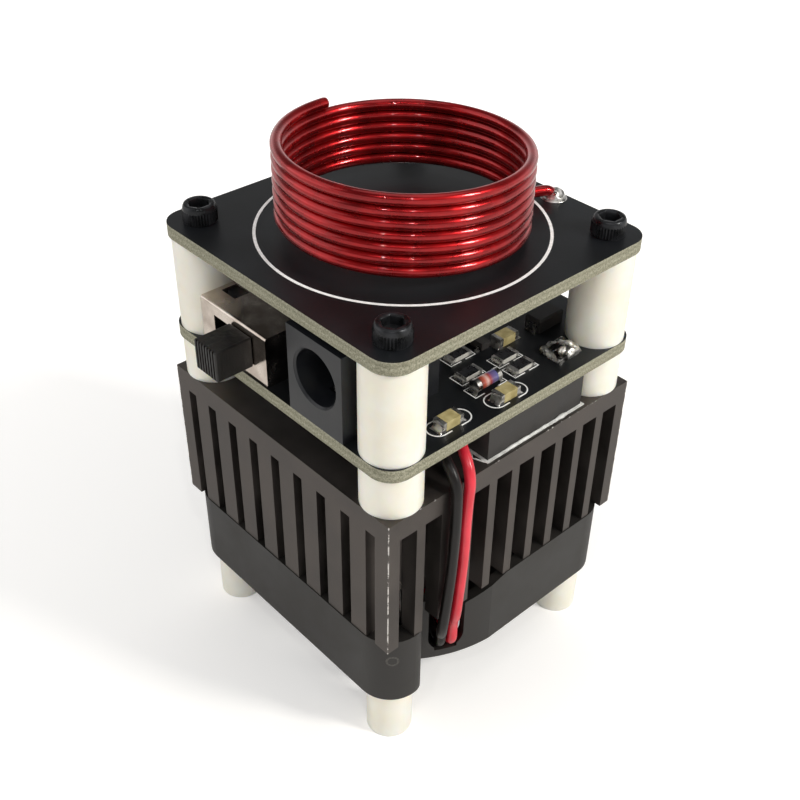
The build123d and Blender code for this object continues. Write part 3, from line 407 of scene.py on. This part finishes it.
# %% [markdown]
# ## The circuit boards
#
# A board is glass cloth in resin, 1.6 mm thick, sold as FR4. Both faces carry a black solder
# mask: a thin cured ink with a satin gloss. The cut edge shows the bare laminate, an olive tan
# with lighter threads in layers. The real layers are about 0.2 mm apart; they are drawn 0.8 mm
# apart, so that they show. One material does both: the surface's own direction tells the faces
# from the edge. Two materials on split faces would also do, but the CAD mesh has to stay as it
# is.

# %% Black mask and glass laminate
# A wave texture of scale 1 repeats every 0.314 units
wave_repeat = 0.314

board, shader = finish("black_mask_on_glass_laminate", "#15171A", 0.4, Specular_IOR_Level=0.4)
mask = uneven(board, shader, "#181A1D", "#101214", 6.0, 0.5, 0.004, 0.32, 0.46)
facing = add(board, "SeparateXYZ", {"Vector": add(board, "TexCoord").outputs["Normal"]})
upward = add(board, "Math", {0: facing.outputs[2]}, operation="ABSOLUTE")
is_face = add(board, "Math", {0: upward.outputs[0], 1: 0.5}, operation="GREATER_THAN")
# Routed threads: specks of 0.22 mm, and darker layers down the edge
specks = add(
    board, "TexNoise", {"Vector": mask.place, "Scale": 1 / (0.22 * MM), "Detail": 3.0, "Roughness": 0.7}
)
threads = add(board, "MapRange", {"Value": specks.outputs[0], "From Min": 0.36, "From Max": 0.64})
cut = add(
    board, "Mix", {0: threads.outputs[0], 6: linear("#77755F"), 7: linear("#B4B19C")}, data_type="RGBA"
)
layers = add(
    board, "TexWave", {"Vector": mask.place, "Scale": wave_repeat / (0.8 * MM), "Distortion": 2.0,
                       "Detail": 2.0, "Detail Scale": 3.0}, bands_direction="Z",
)
veil = add(board, "MapRange", {"Value": layers.outputs[1], "To Min": 0.0, "To Max": 0.35})
cut = add(board, "Mix", {0: veil.outputs[0], 6: cut.outputs[2], 7: linear("#66644F")}, data_type="RGBA")
skin = add(board, "Mix", {0: is_face.outputs[0], 6: cut.outputs[2], 7: mask.tint}, data_type="RGBA")
dull = add(board, "MapRange", {"Value": is_face.outputs[0], "To Min": 0.75, "To Max": 0.38})
board.node_tree.links.new(skin.outputs[2], shader.inputs["Base Color"])
board.node_tree.links.new(dull.outputs[0], shader.inputs["Roughness"])
dress("coil_board driver_board", board)

# %% [markdown]
# ## The white print
#
# Boards are printed with white ink that shows where parts go. The coil board has a circle round
# the coil. The driver board has outlines round its chips. An image texture would be quicker, but
# the lines are thin raised strips, as the ink really is, so they keep their sharp edges at any
# zoom.

# %% Draw the print
ink, shader = finish("white_board_ink", "#FBFBF8", 0.5)
uneven(ink, shader, "#FFFFFD", "#EEEEEA", 0.6, 0.12, 0.002, 0.42, 0.6)


ink_thickness = 0.025
circle_radius, circle_line = 16.87, 0.36
outline_line = 0.16


def print_line(mesh, points, width, z, closed=False):
    """A raised ink line through points on a board."""
    count = len(points)
    inner, outer = [], []
    for number, point in enumerate(points):
        before = points[number - 1] if number or closed else point
        after = points[(number + 1) % count] if number < count - 1 or closed else point
        way = (Vector(after) - Vector(before)).normalized()
        aside = Vector((-way.y, way.x)) * width / 2
        inner.append(Vector(point) - aside)
        outer.append(Vector(point) + aside)
    top = [[mesh.verts.new((p.x, p.y, z + ink_thickness)) for p in line] for line in (inner, outer)]
    low = [[mesh.verts.new((p.x, p.y, z)) for p in line] for line in (inner, outer)]
    for one in range(count if closed else count - 1):
        two = (one + 1) % count
        mesh.faces.new((top[0][one], top[0][two], top[1][two], top[1][one]))
        mesh.faces.new((low[0][one], top[0][one], top[0][two], low[0][two]))
        mesh.faces.new((low[1][one], low[1][two], top[1][two], top[1][one]))


def arc(x, y, radius, start, end, steps):
    """Points of an arc, with angles in degrees."""
    span = [radians(start + (end - start) * step / steps) for step in range(steps + 1)]
    return [(x + radius * cos(a), y + radius * sin(a)) for a in span]


mesh = bmesh.new()
print_line(mesh, arc(0, 0, circle_radius, 0, 360, 180)[:-1], circle_line, deck, closed=True)
piece("coil_board_print", mesh, ink)

# %% Outlines round the chips
def chip_outline(mesh, x, y, half_x, half_y, gap):
    """A printed rectangle, open in the middle of its long sides."""
    for side in (-1, 1):
        line = [(x - half_x, y + side * gap), (x - half_x, y + side * half_y)]
        line += [(x + half_x, y + side * half_y), (x + half_x, y + side * gap)]
        print_line(mesh, line, outline_line, driver_top)


def round_outline(mesh, x, y, half_x, half_y, gap):
    """A printed outline with round ends, open in the middle of its long sides."""
    for side in (-1, 1):
        line = [(x - half_x, y + side * gap)]
        line += arc(x, y + side * (half_y - half_x), half_x, 180, 180 - side * 180, 16)
        line += [(x + half_x, y + side * gap)]
        print_line(mesh, line, outline_line, driver_top)


# Where the chips' middles are on the driver board
resistor_places = ((12.6, -1.25), (9.1, 0.45), (13.0, 4.4), (15.5, 4.35))
ceramic_places = ((17.5, -9.2), (18.15, -0.95), (10.5, 6.95))
diode_place = (15.3, -1.2)

mesh = bmesh.new()
for x, y in resistor_places:
    chip_outline(mesh, x, y, 1.03, 1.95, 0.35)
for x, y in ceramic_places[:2]:
    round_outline(mesh, x - 0.15, y + 0.2, 1.28, 2.95, 0.7)
chip_outline(mesh, *diode_place, 0.95, 2.5, 1.1)
piece("driver_board_print", mesh, ink)

# %% [markdown]
# ## Nylon spacers and feet
#
# The spacers and feet are natural nylon, cut from moulded tube. Nylon is a milky ivory, and
# light goes a little way into it, which softens the shading. A small share of subsurface
# scattering, a millimetre deep, gives that glow; without it, the spacers look like painted wood.

# %% Natural nylon
nylon, shader = finish(
    "natural_nylon", "#FBF5E8", 0.4, Subsurface_Weight=0.4, Subsurface_Radius=(1.0, 0.7, 0.4),
    Subsurface_Scale=0.9 * MM,
)
uneven(nylon, shader, "#FDF8EC", "#F9F1E0", 5.0, 0.4, 0.005, 0.32, 0.44)
dress("upper_spacers lower_spacers feet", nylon)

# %% [markdown]
# ## The frame screws
#
# Four socket cap screws clamp the stack. Black oxide is a thin conversion of the steel's own
# surface, so it still has a metal's sheen, only dark. The head's side is knurled with fine
# straight teeth for the fingers. The CAD head is a plain cylinder. Here the head's rings are
# pushed in and out tooth by tooth, and the hexagon socket is the same rings drawn inward.

# %% Black oxide steel
black_oxide, shader = finish("black_oxide_steel", "#1B1C1E", 0.34, 0.55)
uneven(black_oxide, shader, "#343538", "#191A1B", 1.2, 0.15, 0.004, 0.24, 0.4)


teeth = 36
ring_points = 2 * teeth
head_radius, tooth_depth = 2.03, 0.17


def stacked(x, y, profile):
    """Rings on an upright axis from (radius, height, tooth depth) steps."""
    rings = []
    for radius, height, depth in profile:
        ring = []
        for step in range(ring_points):
            a = 2 * pi * step / ring_points
            r = radius - (depth if step % 2 else 0)
            ring.append(Vector((x + r * cos(a), y + r * sin(a), height)))
        rings.append(ring)
    return rings


def hexagon(x, y, half, height):
    """A ring on a hexagon, from half its width across the flats."""
    ring = []
    for step in range(ring_points):
        a = 2 * pi * step / ring_points
        r = half / cos((a + pi / 6) % (pi / 3) - pi / 6)
        ring.append(Vector((x + r * cos(a), y + r * sin(a), height)))
    return ring


# %% Build the knurled screws
def cap_screw(mesh, x, y):
    """Shank, knurled head, rim and hexagon socket, in one run of rings."""
    foot = level("frame_screws", high=False)
    shank = [(1.1, foot, 0), (1.25, foot + 0.15, 0), (1.25, deck, 0)]
    head = [
        (1.93, deck, 0), (1.96, deck + 0.1, 0),
        (head_radius, deck + 0.2, tooth_depth), (head_radius, deck + 1.4, tooth_depth),
        (1.95, deck + 1.55, 0), (1.9, deck + 1.85, 0),
        (1.78, deck + 2.12, 0), (1.66, deck + 2.2, 0), (1.4, deck + 2.2, 0),
    ]
    rings = stacked(x, y, shank + head)
    for half, height in ((1.16, 2.15), (1.1, 2.05), (1.1, 1.1)):
        rings.append(hexagon(x, y, half, deck + height))
    rings += stacked(x, y, [(0.6, deck + 0.95, 0), (0.1, deck + 0.85, 0)])
    loft(mesh, rings)


low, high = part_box("frame_screws")
screw_at = (high.x - low.x) / 2 / MM - head_radius
mesh = bmesh.new()
for x in (-screw_at, screw_at):
    for y in (-screw_at, screw_at):
        cap_screw(mesh, x, y)
piece("knurled_cap_screws", mesh, black_oxide, ["frame_screws"])

# %% [markdown]
# ## The slide switch
#
# The switch's can is thin steel, folded and tin plated: a bright metal with faint stamping
# lines and rubbed marks. The knob is moulded plastic with fine ribs on its end for the thumb.
# The can mirrors its surroundings, so its finish is mostly in the roughness.

# %% Plated steel and the knob's plastic
plated, shader = finish("tin_plated_steel", "#CFC8C0", 0.22, 1.0)
uneven(plated, shader, "#E4D9CE", "#BFB1A5", 2.5, 0.2, 0.002, 0.1, 0.28)
dress("switch_can", plated)

knob_plastic, shader = finish("ribbed_black_plastic", "#161311", 0.5)
skin = uneven(knob_plastic, shader, "#1B1715", "#0F0D0C", 1.5, 0.12, 0.006, 0.4, 0.58)
# Draw marks of the mould run up the sides, two to a millimetre
marks = add(knob_plastic, "Mapping", {"Vector": skin.place, "Scale": (2 / MM, 2 / MM, 0.12 / MM)})
drawn = add(knob_plastic, "TexNoise", {"Vector": marks.outputs[0], "Scale": 1.0, "Detail": 2.0})
streaks = add(
    knob_plastic, "Bump", {"Height": drawn.outputs[0], "Distance": 0.06 * MM, "Normal": skin.normal}
)
knob_plastic.node_tree.links.new(streaks.outputs[0], shader.inputs["Normal"])
dress("switch_knob", knob_plastic)

# %% [markdown]
# ## Mouldings in black
#
# Three blacks stand side by side here, and they aren't the same. The socket is smooth moulded
# polyester. The fan's frame is glass-filled, with a spark-eroded grain. Chips are moulded in
# epoxy full of silica, greyer and duller. Each gets its own grain size and gloss.

# %% Socket plastic
socket_plastic, shader = finish("moulded_black_polyester", "#191B1F", 0.38)
uneven(socket_plastic, shader, "#1E2024", "#15161A", 4.0, 0.3, 0.005, 0.3, 0.44)
dress("dc_jack_housing switch_base bulk_capacitor_base fan_shaft_clip", socket_plastic)

# %% Fan frame plastic
fan_plastic, shader = finish("glass_filled_fan_plastic", "#23211F", 0.5)
skin = uneven(fan_plastic, shader, "#282522", "#1C1A18", 8.0, 0.22, 0.012, 0.42, 0.56)
# The mould's ejector pin left a ring 1.4 mm across on the front corner
pin_at = (19.0 * MM, -18.3 * MM, 15.6 * MM)
offset = add(fan_plastic, "VectorMath", {0: skin.place, 1: pin_at}, operation="DISTANCE")
ring = add(fan_plastic, "Math", {0: offset.outputs[1], 1: 0.7 * MM, 2: 0.13 * MM}, operation="COMPARE")
broken = add(fan_plastic, "Math", {0: ring.outputs[0], 1: skin.grains}, operation="MULTIPLY")
mark = add(
    fan_plastic, "Bump", {"Height": broken.outputs[0], "Distance": 0.12 * MM, "Normal": skin.normal}
)
fan_plastic.node_tree.links.new(mark.outputs[0], shader.inputs["Normal"])
pale = add(fan_plastic, "Mix", {0: broken.outputs[0], 6: skin.tint, 7: linear("#5B5752")}, data_type="RGBA")
fan_plastic.node_tree.links.new(pale.outputs[2], shader.inputs["Base Color"])
dress("fan_frame fan_rotor", fan_plastic)

# %% Epoxy mouldings
epoxy, shader = finish("silica_filled_epoxy", "#2B2927", 0.55)
uneven(epoxy, shader, "#353230", "#211F1E", 3.0, 0.14, 0.012, 0.46, 0.66)
dress("power_transistor_body rectifier_diode gate_transistor", epoxy)

# %% [markdown]
# ## The heat sink
#
# The heat sink is an aluminium block, sawn both ways into pins, then anodised black. The dye
# sits in a clear oxide skin, so it is a dark satin rather than a paint. Where a corner has
# been knocked, the skin chips off and bright metal shows in dashes. The wear is worked out
# from the real measures: it can only be within a tenth of a millimetre of an edge, and noise
# decides where along the edge it is.

# %% Black anodised aluminium with worn edges
anodised, shader = finish("black_anodised_aluminium", "#5A5551", 0.44, 0.85)
skin = uneven(anodised, shader, "#615B57", "#504B48", 7.0, 0.25, 0.008, 0.38, 0.54)
at = add(anodised, "SeparateXYZ", {"Vector": skin.place})
out_x = add(anodised, "Math", {0: at.outputs[0]}, operation="ABSOLUTE").outputs[0]
out_y = add(anodised, "Math", {0: at.outputs[1]}, operation="ABSOLUTE").outputs[0]
side, near_side, near_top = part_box("heatsink")[1].x, 0.1 * MM, 0.13 * MM
edge_x = add(anodised, "Math", {0: out_x, 1: side, 2: near_side}, operation="COMPARE").outputs[0]
edge_y = add(anodised, "Math", {0: out_y, 1: side, 2: near_side}, operation="COMPARE").outputs[0]
top = sink_top * MM
edge_z = add(anodised, "Math", {0: at.outputs[2], 1: top, 2: near_top}, operation="COMPARE").outputs[0]
corner = add(anodised, "Math", {0: edge_x, 1: edge_y}, operation="MULTIPLY").outputs[0]
rim = add(anodised, "Math", {0: edge_x, 1: edge_z}, operation="MULTIPLY").outputs[0]
chips = add(
    anodised, "TexNoise", {"Vector": skin.place, "Scale": 1 / (1.3 * MM), "Detail": 5.0, "Roughness": 0.75}
)
often = add(anodised, "MapRange", {"Value": chips.outputs[0], "From Min": 0.46, "From Max": 0.5}).outputs[0]
seldom = add(anodised, "MapRange", {"Value": chips.outputs[0], "From Min": 0.6, "From Max": 0.64}).outputs[0]
corner_worn = add(anodised, "Math", {0: corner, 1: often}, operation="MULTIPLY").outputs[0]
rim_worn = add(anodised, "Math", {0: rim, 1: seldom}, operation="MULTIPLY").outputs[0]
worn = add(anodised, "Math", {0: corner_worn, 1: rim_worn}, operation="MAXIMUM").outputs[0]
bare = add(anodised, "Mix", {0: worn, 6: skin.tint, 7: linear("#E2DFDA")}, data_type="RGBA")
anodised.node_tree.links.new(bare.outputs[2], shader.inputs["Base Color"])
dress("heatsink", anodised)

# %% [markdown]
# ## Bright metals
#
# Pins, leads and blades are plated with tin or nickel. Copper shows in the windings, and the
# transistor's plate is copper with a dull plating. They all keep the default IOR, because
# Blender takes a metal's reflection from its colour.

# %% Tin, brass, copper and steel
tinned, shader = finish("tinned_metal", "#D3D0CB", 0.26, 1.0)
uneven(tinned, shader, "#DCD9D4", "#A9A6A1", 1.0, 0.15, 0.004, 0.18, 0.36)
dress("link_wire dc_jack_contacts power_transistor_leads", tinned)
dress("glass_diode_caps rectifier_terminals gate_transistor_legs", tinned)

nickel_brass, shader = finish("nickel_plated_brass", "#D8CDB4", 0.2, 1.0)
uneven(nickel_brass, shader, "#EAE3D2", "#CBC2AC", 1.0, 0.12, 0.003, 0.22, 0.4)
dress("dc_jack_pin switch_pins switch_bridge", nickel_brass)

plated_copper, shader = finish("dull_plated_copper", "#B9A58F", 0.36, 1.0)
uneven(plated_copper, shader, "#C2AF99", "#9A8671", 2.0, 0.2, 0.006, 0.3, 0.46)
dress("power_transistor_tab", plated_copper)

steel, shader = finish("turned_steel", "#A9A8A6", 0.32, 1.0)
uneven(steel, shader, "#B5B4B1", "#8C8B88", 1.5, 0.12, 0.005, 0.24, 0.42)
dress("fan_screws fan_shaft", steel)

# %% Motor parts
bronze, shader = finish("sintered_bronze", "#8A6A3E", 0.5, 0.9)
uneven(bronze, shader, "#97764A", "#6B4F2C", 0.8, 0.12, 0.02, 0.42, 0.62)
dress("fan_bearing", bronze)

magnet, shader = finish("bonded_ferrite_magnet", "#2C2A29", 0.62)
uneven(magnet, shader, "#34312F", "#201F1E", 1.5, 0.15, 0.015, 0.55, 0.72)
dress("fan_magnet_ring choke_core", magnet)

laminations, shader = finish("stacked_sheet_steel", "#6E7073", 0.42, 0.9)
skin = uneven(laminations, shader, "#7A7C7F", "#5A5C5F", 1.5, 0.2, 0.004, 0.34, 0.5)
# The sheets are 0.35 mm thick. Every second joint between them is drawn, so that it shows.
sheets = add(
    laminations, "TexWave", {"Vector": skin.place, "Scale": wave_repeat / (0.7 * MM)}, bands_direction="Z"
)
joint = add(
    laminations, "Bump", {"Height": sheets.outputs[1], "Distance": 0.03 * MM, "Normal": skin.normal}
)
laminations.node_tree.links.new(joint.outputs[0], shader.inputs["Normal"])
dress("fan_stator_core", laminations)

# %% [markdown]
# The choke and the fan's stator are wound with thin enamelled copper, whose turns are 0.3 mm
# apart. They could be modelled one by one, but nobody would see the difference, so a wave
# pattern makes the ridges, and painted shade darkens the colour in the grooves between them.
# It is drawn 0.6 mm apart, so that it shows.

# %% Wound copper
wound, shader = finish("wound_enamelled_copper", "#A8572A", 0.3, 0.9, Coat_Weight=0.5, Coat_Roughness=0.12)
skin = uneven(wound, shader, "#B8642F", "#87401C", 1.2, 0.15, 0.003, 0.24, 0.38)
turns = add(
    wound, "TexWave", {"Vector": skin.place, "Scale": wave_repeat / (0.6 * MM), "Distortion": 0.6},
    bands_direction="Z",
)
# Painted shade: the grooves between the turns are darkened towards #3A1A0C
painted_groove_shade = add(wound, "Mix", {0: turns.outputs[1], 6: linear("#3A1A0C"), 7: skin.tint}, data_type="RGBA")
ridge = add(wound, "Bump", {"Height": turns.outputs[1], "Distance": 0.1 * MM, "Normal": skin.normal})
wound.node_tree.links.new(painted_groove_shade.outputs[2], shader.inputs["Base Color"])
wound.node_tree.links.new(ridge.outputs[0], shader.inputs["Normal"])
dress("fan_stator_windings choke_winding", wound)

green_board, shader = finish("green_mask_on_glass_laminate", "#17563A", 0.35)
uneven(green_board, shader, "#1B6244", "#10402B", 1.5, 0.2, 0.006, 0.28, 0.42)
dress("fan_circuit_board", green_board)

# %% [markdown]
# ## The capacitor's can
#
# The bulk capacitor is a can of thin drawn aluminium. Drawing leaves fine lines up its side.
# A noise pattern that is stretched along the height gives those lines.

# %% Drawn aluminium
drawn_can, shader = finish("drawn_aluminium", "#CFCFCF", 0.28, 1.0)
skin = uneven(drawn_can, shader, "#D6D6D5", "#B0B0AF", 3.0, 0.2, 0.002, 0.2, 0.36)
# Nine lines to a millimetre, each about 3 mm long
stretched = add(drawn_can, "Mapping", {"Vector": skin.place, "Scale": (9 / MM, 9 / MM, 0.3 / MM)})
lines = add(drawn_can, "TexNoise", {"Vector": stretched.outputs[0], "Scale": 1.0, "Detail": 1.0})
drawn = add(drawn_can, "Bump", {"Height": lines.outputs[0], "Distance": 0.01 * MM, "Normal": skin.normal})
drawn_can.node_tree.links.new(drawn.outputs[0], shader.inputs["Normal"])
dress("bulk_capacitor_can", drawn_can)

# %% [markdown]
# ## Chips on the board
#
# A ceramic capacitor is a tan block of fired ceramic with tinned ends. A chip resistor is a
# white alumina plate with a black glaze on top. The diode is a tiny glass tube: what shows
# through the glass is orange at one end and violet at the other. Real glass with coloured
# parts inside would do too, but at 3 mm a coated surface with a colour ramp along its length
# looks the same and stays free of noise.

# %% Ceramic, alumina, glaze and glass
ceramic, shader = finish("fired_tan_ceramic", "#BDAE7A", 0.42)
uneven(ceramic, shader, "#C9BB88", "#AA9A66", 1.0, 0.1, 0.006, 0.34, 0.5)
dress("ceramic_capacitors", ceramic)

resistor, shader = finish("black_glaze_on_alumina", "#1A1A1C", 0.3)
glaze = uneven(resistor, shader, "#222225", "#131315", 0.8, 0.1, 0.004, 0.22, 0.4)
facing = add(resistor, "SeparateXYZ", {"Vector": add(resistor, "TexCoord").outputs["Normal"]})
is_top = add(resistor, "Math", {0: facing.outputs[2], 1: 0.5}, operation="GREATER_THAN")
sides = add(resistor, "Mix", {0: is_top.outputs[0], 6: linear("#D8D5CC"), 7: glaze.tint}, data_type="RGBA")
resistor.node_tree.links.new(sides.outputs[2], shader.inputs["Base Color"])
dress("chip_resistors", resistor)

glass, shader = finish("diode_glass", "#B8503A", 0.12, Coat_Weight=1.0, Coat_Roughness=0.04, Coat_IOR=1.5)
low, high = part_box("glass_diode")
place = add(glass, "TexCoord").outputs["Object"]
along_y = add(glass, "SeparateXYZ", {"Vector": place}).outputs[1]
share = add(glass, "MapRange", {"Value": along_y, "From Min": low.y, "From Max": high.y})
bands = add(glass, "ValToRGB", {0: share.outputs[0]})
ramp = bands.color_ramp
ramp.elements[0].color = linear("#6A3A34")
ramp.elements[1].color = linear("#66689E")
for position, colour in ((0.2, "#C25C48"), (0.38, "#E3BBB0"), (0.52, "#B65246"), (0.7, "#75608E")):
    ramp.elements.new(position).color = linear(colour)
glass.node_tree.links.new(bands.outputs[0], shader.inputs["Base Color"])
flow = add(glass, "TexNoise", {"Vector": place, "Scale": 1 / (0.6 * MM)})
wavy = add(glass, "Bump", {"Height": flow.outputs[0], "Distance": 0.03 * MM})
glass.node_tree.links.new(wavy.outputs[0], shader.inputs["Normal"])
dress("glass_diode", glass)

# %% [markdown]
# Chips are held by a small concave fillet of solder at each end. In CAD the ends are plain
# blocks, and without the fillet a chip looks as if it lies loose. Each fillet is a strip of
# rings that falls from the chip's end to its pad along a hollow curve.

# %% Solder at the chips' ends
toe_steps, toe_hollow = 8, 2.2
toe_overlap, toe_edge, toe_spread = 0.05, 0.03, 0.12
chip_half, diode_half = 1.525, 1.9


def toe(mesh, x, y, way, wide, height, reach):
    """A hollow fillet from a chip's end face, out along y to its pad."""
    rings = []
    for step in range(toe_steps + 1):
        t = step / toe_steps
        out = reach * t - toe_overlap
        rise = height * (1 - t) ** toe_hollow + toe_edge
        half = wide / 2 + toe_spread * t
        shoulder, top = half * 0.92, half * 0.5
        foot = [(-half, 0.0), (half, 0.0), (shoulder, rise * 0.8)]
        foot += [(top, rise), (-top, rise), (-shoulder, rise * 0.8)]
        rings.append([Vector((x + dx, y + way * out, driver_top + dz)) for dx, dz in foot])
    loft(mesh, rings)


mesh = bmesh.new()
for way in (-1, 1):
    for x, y in ceramic_places:
        toe(mesh, x, y + way * chip_half, way, 1.5, 0.85, 0.55)
    for x, y in resistor_places:
        toe(mesh, x, y + way * chip_half, way, 1.45, 0.45, 0.3)
    x, y = diode_place
    toe(mesh, x, y + way * diode_half, way, 1.2, 0.6, 0.45)
piece("chip_solder", mesh, solder)

# %% [markdown]
# ## Heat paste
#
# White paste was spread under the power transistor, and pressing the part down squeezed it out
# in a thin uneven bead along the edges. A wisp was smeared off the front corner. The bead is
# a tube whose thickness wanders between almost nothing and a third of a millimetre.

# %% White heat paste
paste, shader = finish("white_heat_paste", "#ECECE8", 0.5)
uneven(paste, shader, "#F2F2EE", "#CFCFCA", 0.8, 0.2, 0.04, 0.4, 0.62)
dress("thermal_paste", paste)

low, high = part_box("power_transistor_body")
low, high = low / MM, high / MM
bead_step, bead_taper, bead_sides = 0.3, 6, 10
lump_rate, bead_stray, least_radius = 0.6, 0.1, 0.04


def bead(mesh, start, end, seed, thick):
    """A low bead between two points of the heat sink's top."""
    start, end = Vector(start), Vector(end)
    length = (end - start).length
    count = max(8, int(length / bead_step))
    points, radii = [], []
    for step in range(count + 1):
        t = step / count
        lump = noise.noise(Vector((seed, t * length * lump_rate, 0)))
        fade = min(1.0, bead_taper * t, bead_taper * (1 - t))
        radii.append(max(least_radius, thick * (0.65 + 0.9 * lump) * fade))
        stray = bead_stray * lump
        points.append(start.lerp(end, t) + Vector((stray, stray, radii[-1] * 0.4)))
    loft(mesh, rings_along(points, radii, bead_sides))


edge = 0.12
right_side, left_side = high.x + edge, low.x - edge
front_side, back_side = low.y - edge, high.y + edge
wisp = ((19.3, -4.5, sink_top), (17.6, -5.15, sink_top), (16.5, -4.3, sink_top))
mesh = bmesh.new()
bead(mesh, (right_side, front_side, sink_top), (right_side, high.y, sink_top), 1.0, 0.26)
bead(mesh, (low.x, front_side, sink_top), (right_side, front_side, sink_top), 5.0, 0.24)
bead(mesh, (left_side, low.y, sink_top), (left_side, high.y, sink_top), 8.0, 0.2)
bead(mesh, (low.x, back_side, sink_top), (high.x, back_side, sink_top), 12.0, 0.22)
bead(mesh, wisp[0], wisp[1], 15.0, 0.14)
bead(mesh, wisp[1], wisp[2], 19.0, 0.12)
piece("heat_paste_bead", mesh, paste)

# %% [markdown]
# ## The fan's leads
#
# Two thin leads run down beside the heat sink into the fan. Their insulation is soft PVC, which
# has a waxy gloss: a little rough, with a broad highlight. The CAD tubes have the right shape,
# so only their finish changes.

# %% Lead insulation
red_pvc, shader = finish("red_pvc_insulation", "#E02838", 0.36, Coat_Weight=0.3, Coat_Roughness=0.2)
uneven(red_pvc, shader, "#EE3044", "#D62234", 4.0, 0.3, 0.005, 0.3, 0.42)
dress("fan_lead_red", red_pvc)
black_pvc, shader = finish("black_pvc_insulation", "#120E0C", 0.34, Specular_IOR_Level=0.35)
uneven(black_pvc, shader, "#181210", "#0C0908", 4.0, 0.3, 0.005, 0.28, 0.42)
dress("fan_lead_black", black_pvc)

# %% [markdown]
# ## Floor and light
#
# The object stands on a plain white table. A tall window-like lamp on the right gives the
# bright upright streak on the coil, a broad soft one on the left lights the fins, one overhead
# fills the tops, and two tiny ones near the camera add the sparks on each turn. The table takes
# a little extra light for the camera alone, more of it further out where the lamps don't reach,
# so it shows white without more light on the object, and it still takes the object's shadow.
#
# Shiny wire shows what stands round it. So the world that mirrors and the camera see is white at
# the horizon and dark overhead: the dark part gives each turn its deep red, and the white part
# its pale rim. Matte surfaces are lit by a plain even half strength instead.

# %% Floor
table, shader = finish("white_table", "#EDEBE8", 0.7, Specular_IOR_Level=0.2)
path = add(table, "LightPath")
shader.inputs["Emission Color"].default_value = linear("#FFFFFF")
floor_half = 3.0
away = add(table, "VectorMath", {0: add(table, "TexCoord").outputs["Object"]}, operation="LENGTH")
fade = add(table, "MapRange", {"Value": away.outputs["Value"], "From Min": 0.03, "From Max": 0.25,
                               "To Min": 0.3, "To Max": 0.62}, interpolation_type="SMOOTHSTEP")
lift = add(table, "Math", {0: path.outputs["Is Camera Ray"], 1: fade.outputs[0]}, operation="MULTIPLY")
table.node_tree.links.new(lift.outputs[0], shader.inputs["Emission Strength"])
mesh = bmesh.new()
bmesh.ops.create_grid(mesh, x_segments=2, y_segments=2, size=floor_half)
data = bpy.data.meshes.new("floor")
mesh.to_mesh(data)
mesh.free()
data.materials.append(table)
floor = bpy.data.objects.new("floor", data)
bpy.context.scene.collection.objects.link(floor)

# %% Surroundings
world = bpy.data.worlds.new("studio")
bpy.context.scene.world = world
world.use_nodes = True
path = add(world, "LightPath")
seen = add(
    world, "Math", {0: path.outputs["Is Camera Ray"], 1: path.outputs["Is Glossy Ray"]}, operation="MAXIMUM"
)
seen = add(
    world, "Math", {0: seen.outputs[0], 1: path.outputs["Is Transmission Ray"]}, operation="MAXIMUM"
)
ray = add(world, "SeparateXYZ", {"Vector": add(world, "TexCoord").outputs["Generated"]})
sky = add(world, "MapRange", {"Value": ray.outputs[2], "From Min": 0.08, "From Max": 0.5,
                              "To Min": 1.0, "To Max": 0.08}, interpolation_type="SMOOTHSTEP")
strength = add(world, "MapRange", {"Value": seen.outputs[0], "To Min": 0.5, "To Max": sky.outputs[0]})
backdrop = world.node_tree.nodes["Background"]
backdrop.inputs[0].default_value = linear("#FFFFFF")
world.node_tree.links.new(strength.outputs[0], backdrop.inputs[1])

# %% Lamps
def lamp(name, azimuth, elevation, distance, wide, tall, power, colour):
    """A soft rectangular lamp that faces the object: degrees, then metres, then watts."""
    light = bpy.data.lights.new(name, "AREA")
    light.shape = "RECTANGLE"
    light.size, light.size_y = wide, tall
    light.energy = power
    light.color = linear(colour)[:3]
    thing = bpy.data.objects.new(name, light)
    way = toward(azimuth, elevation)
    thing.location = look_at + way * distance
    thing.rotation_mode = "QUATERNION"
    thing.rotation_quaternion = way.to_track_quat("Z", "Y")
    bpy.context.scene.collection.objects.link(thing)
    print(name, "at", [round(value, 3) for value in thing.location])


lamp("window", 114, 38, 0.6, 0.09, 0.16, 1.9, "#FFFDF8")
lamp("soft_left", -40, 32, 0.7, 0.6, 0.6, 1.0, "#FFFFFF")
lamp("near_spark", 60, 50, 0.6, 0.02, 0.02, 0.25, "#FFFFFF")
lamp("far_spark", 31, 50, 0.6, 0.02, 0.02, 0.2, "#FFFFFF")
lamp("overhead", 200, 75, 0.7, 0.5, 0.5, 0.6, "#FFFFFF")

# %% Plain picture settings
bpy.context.scene.view_settings.view_transform = "Standard"
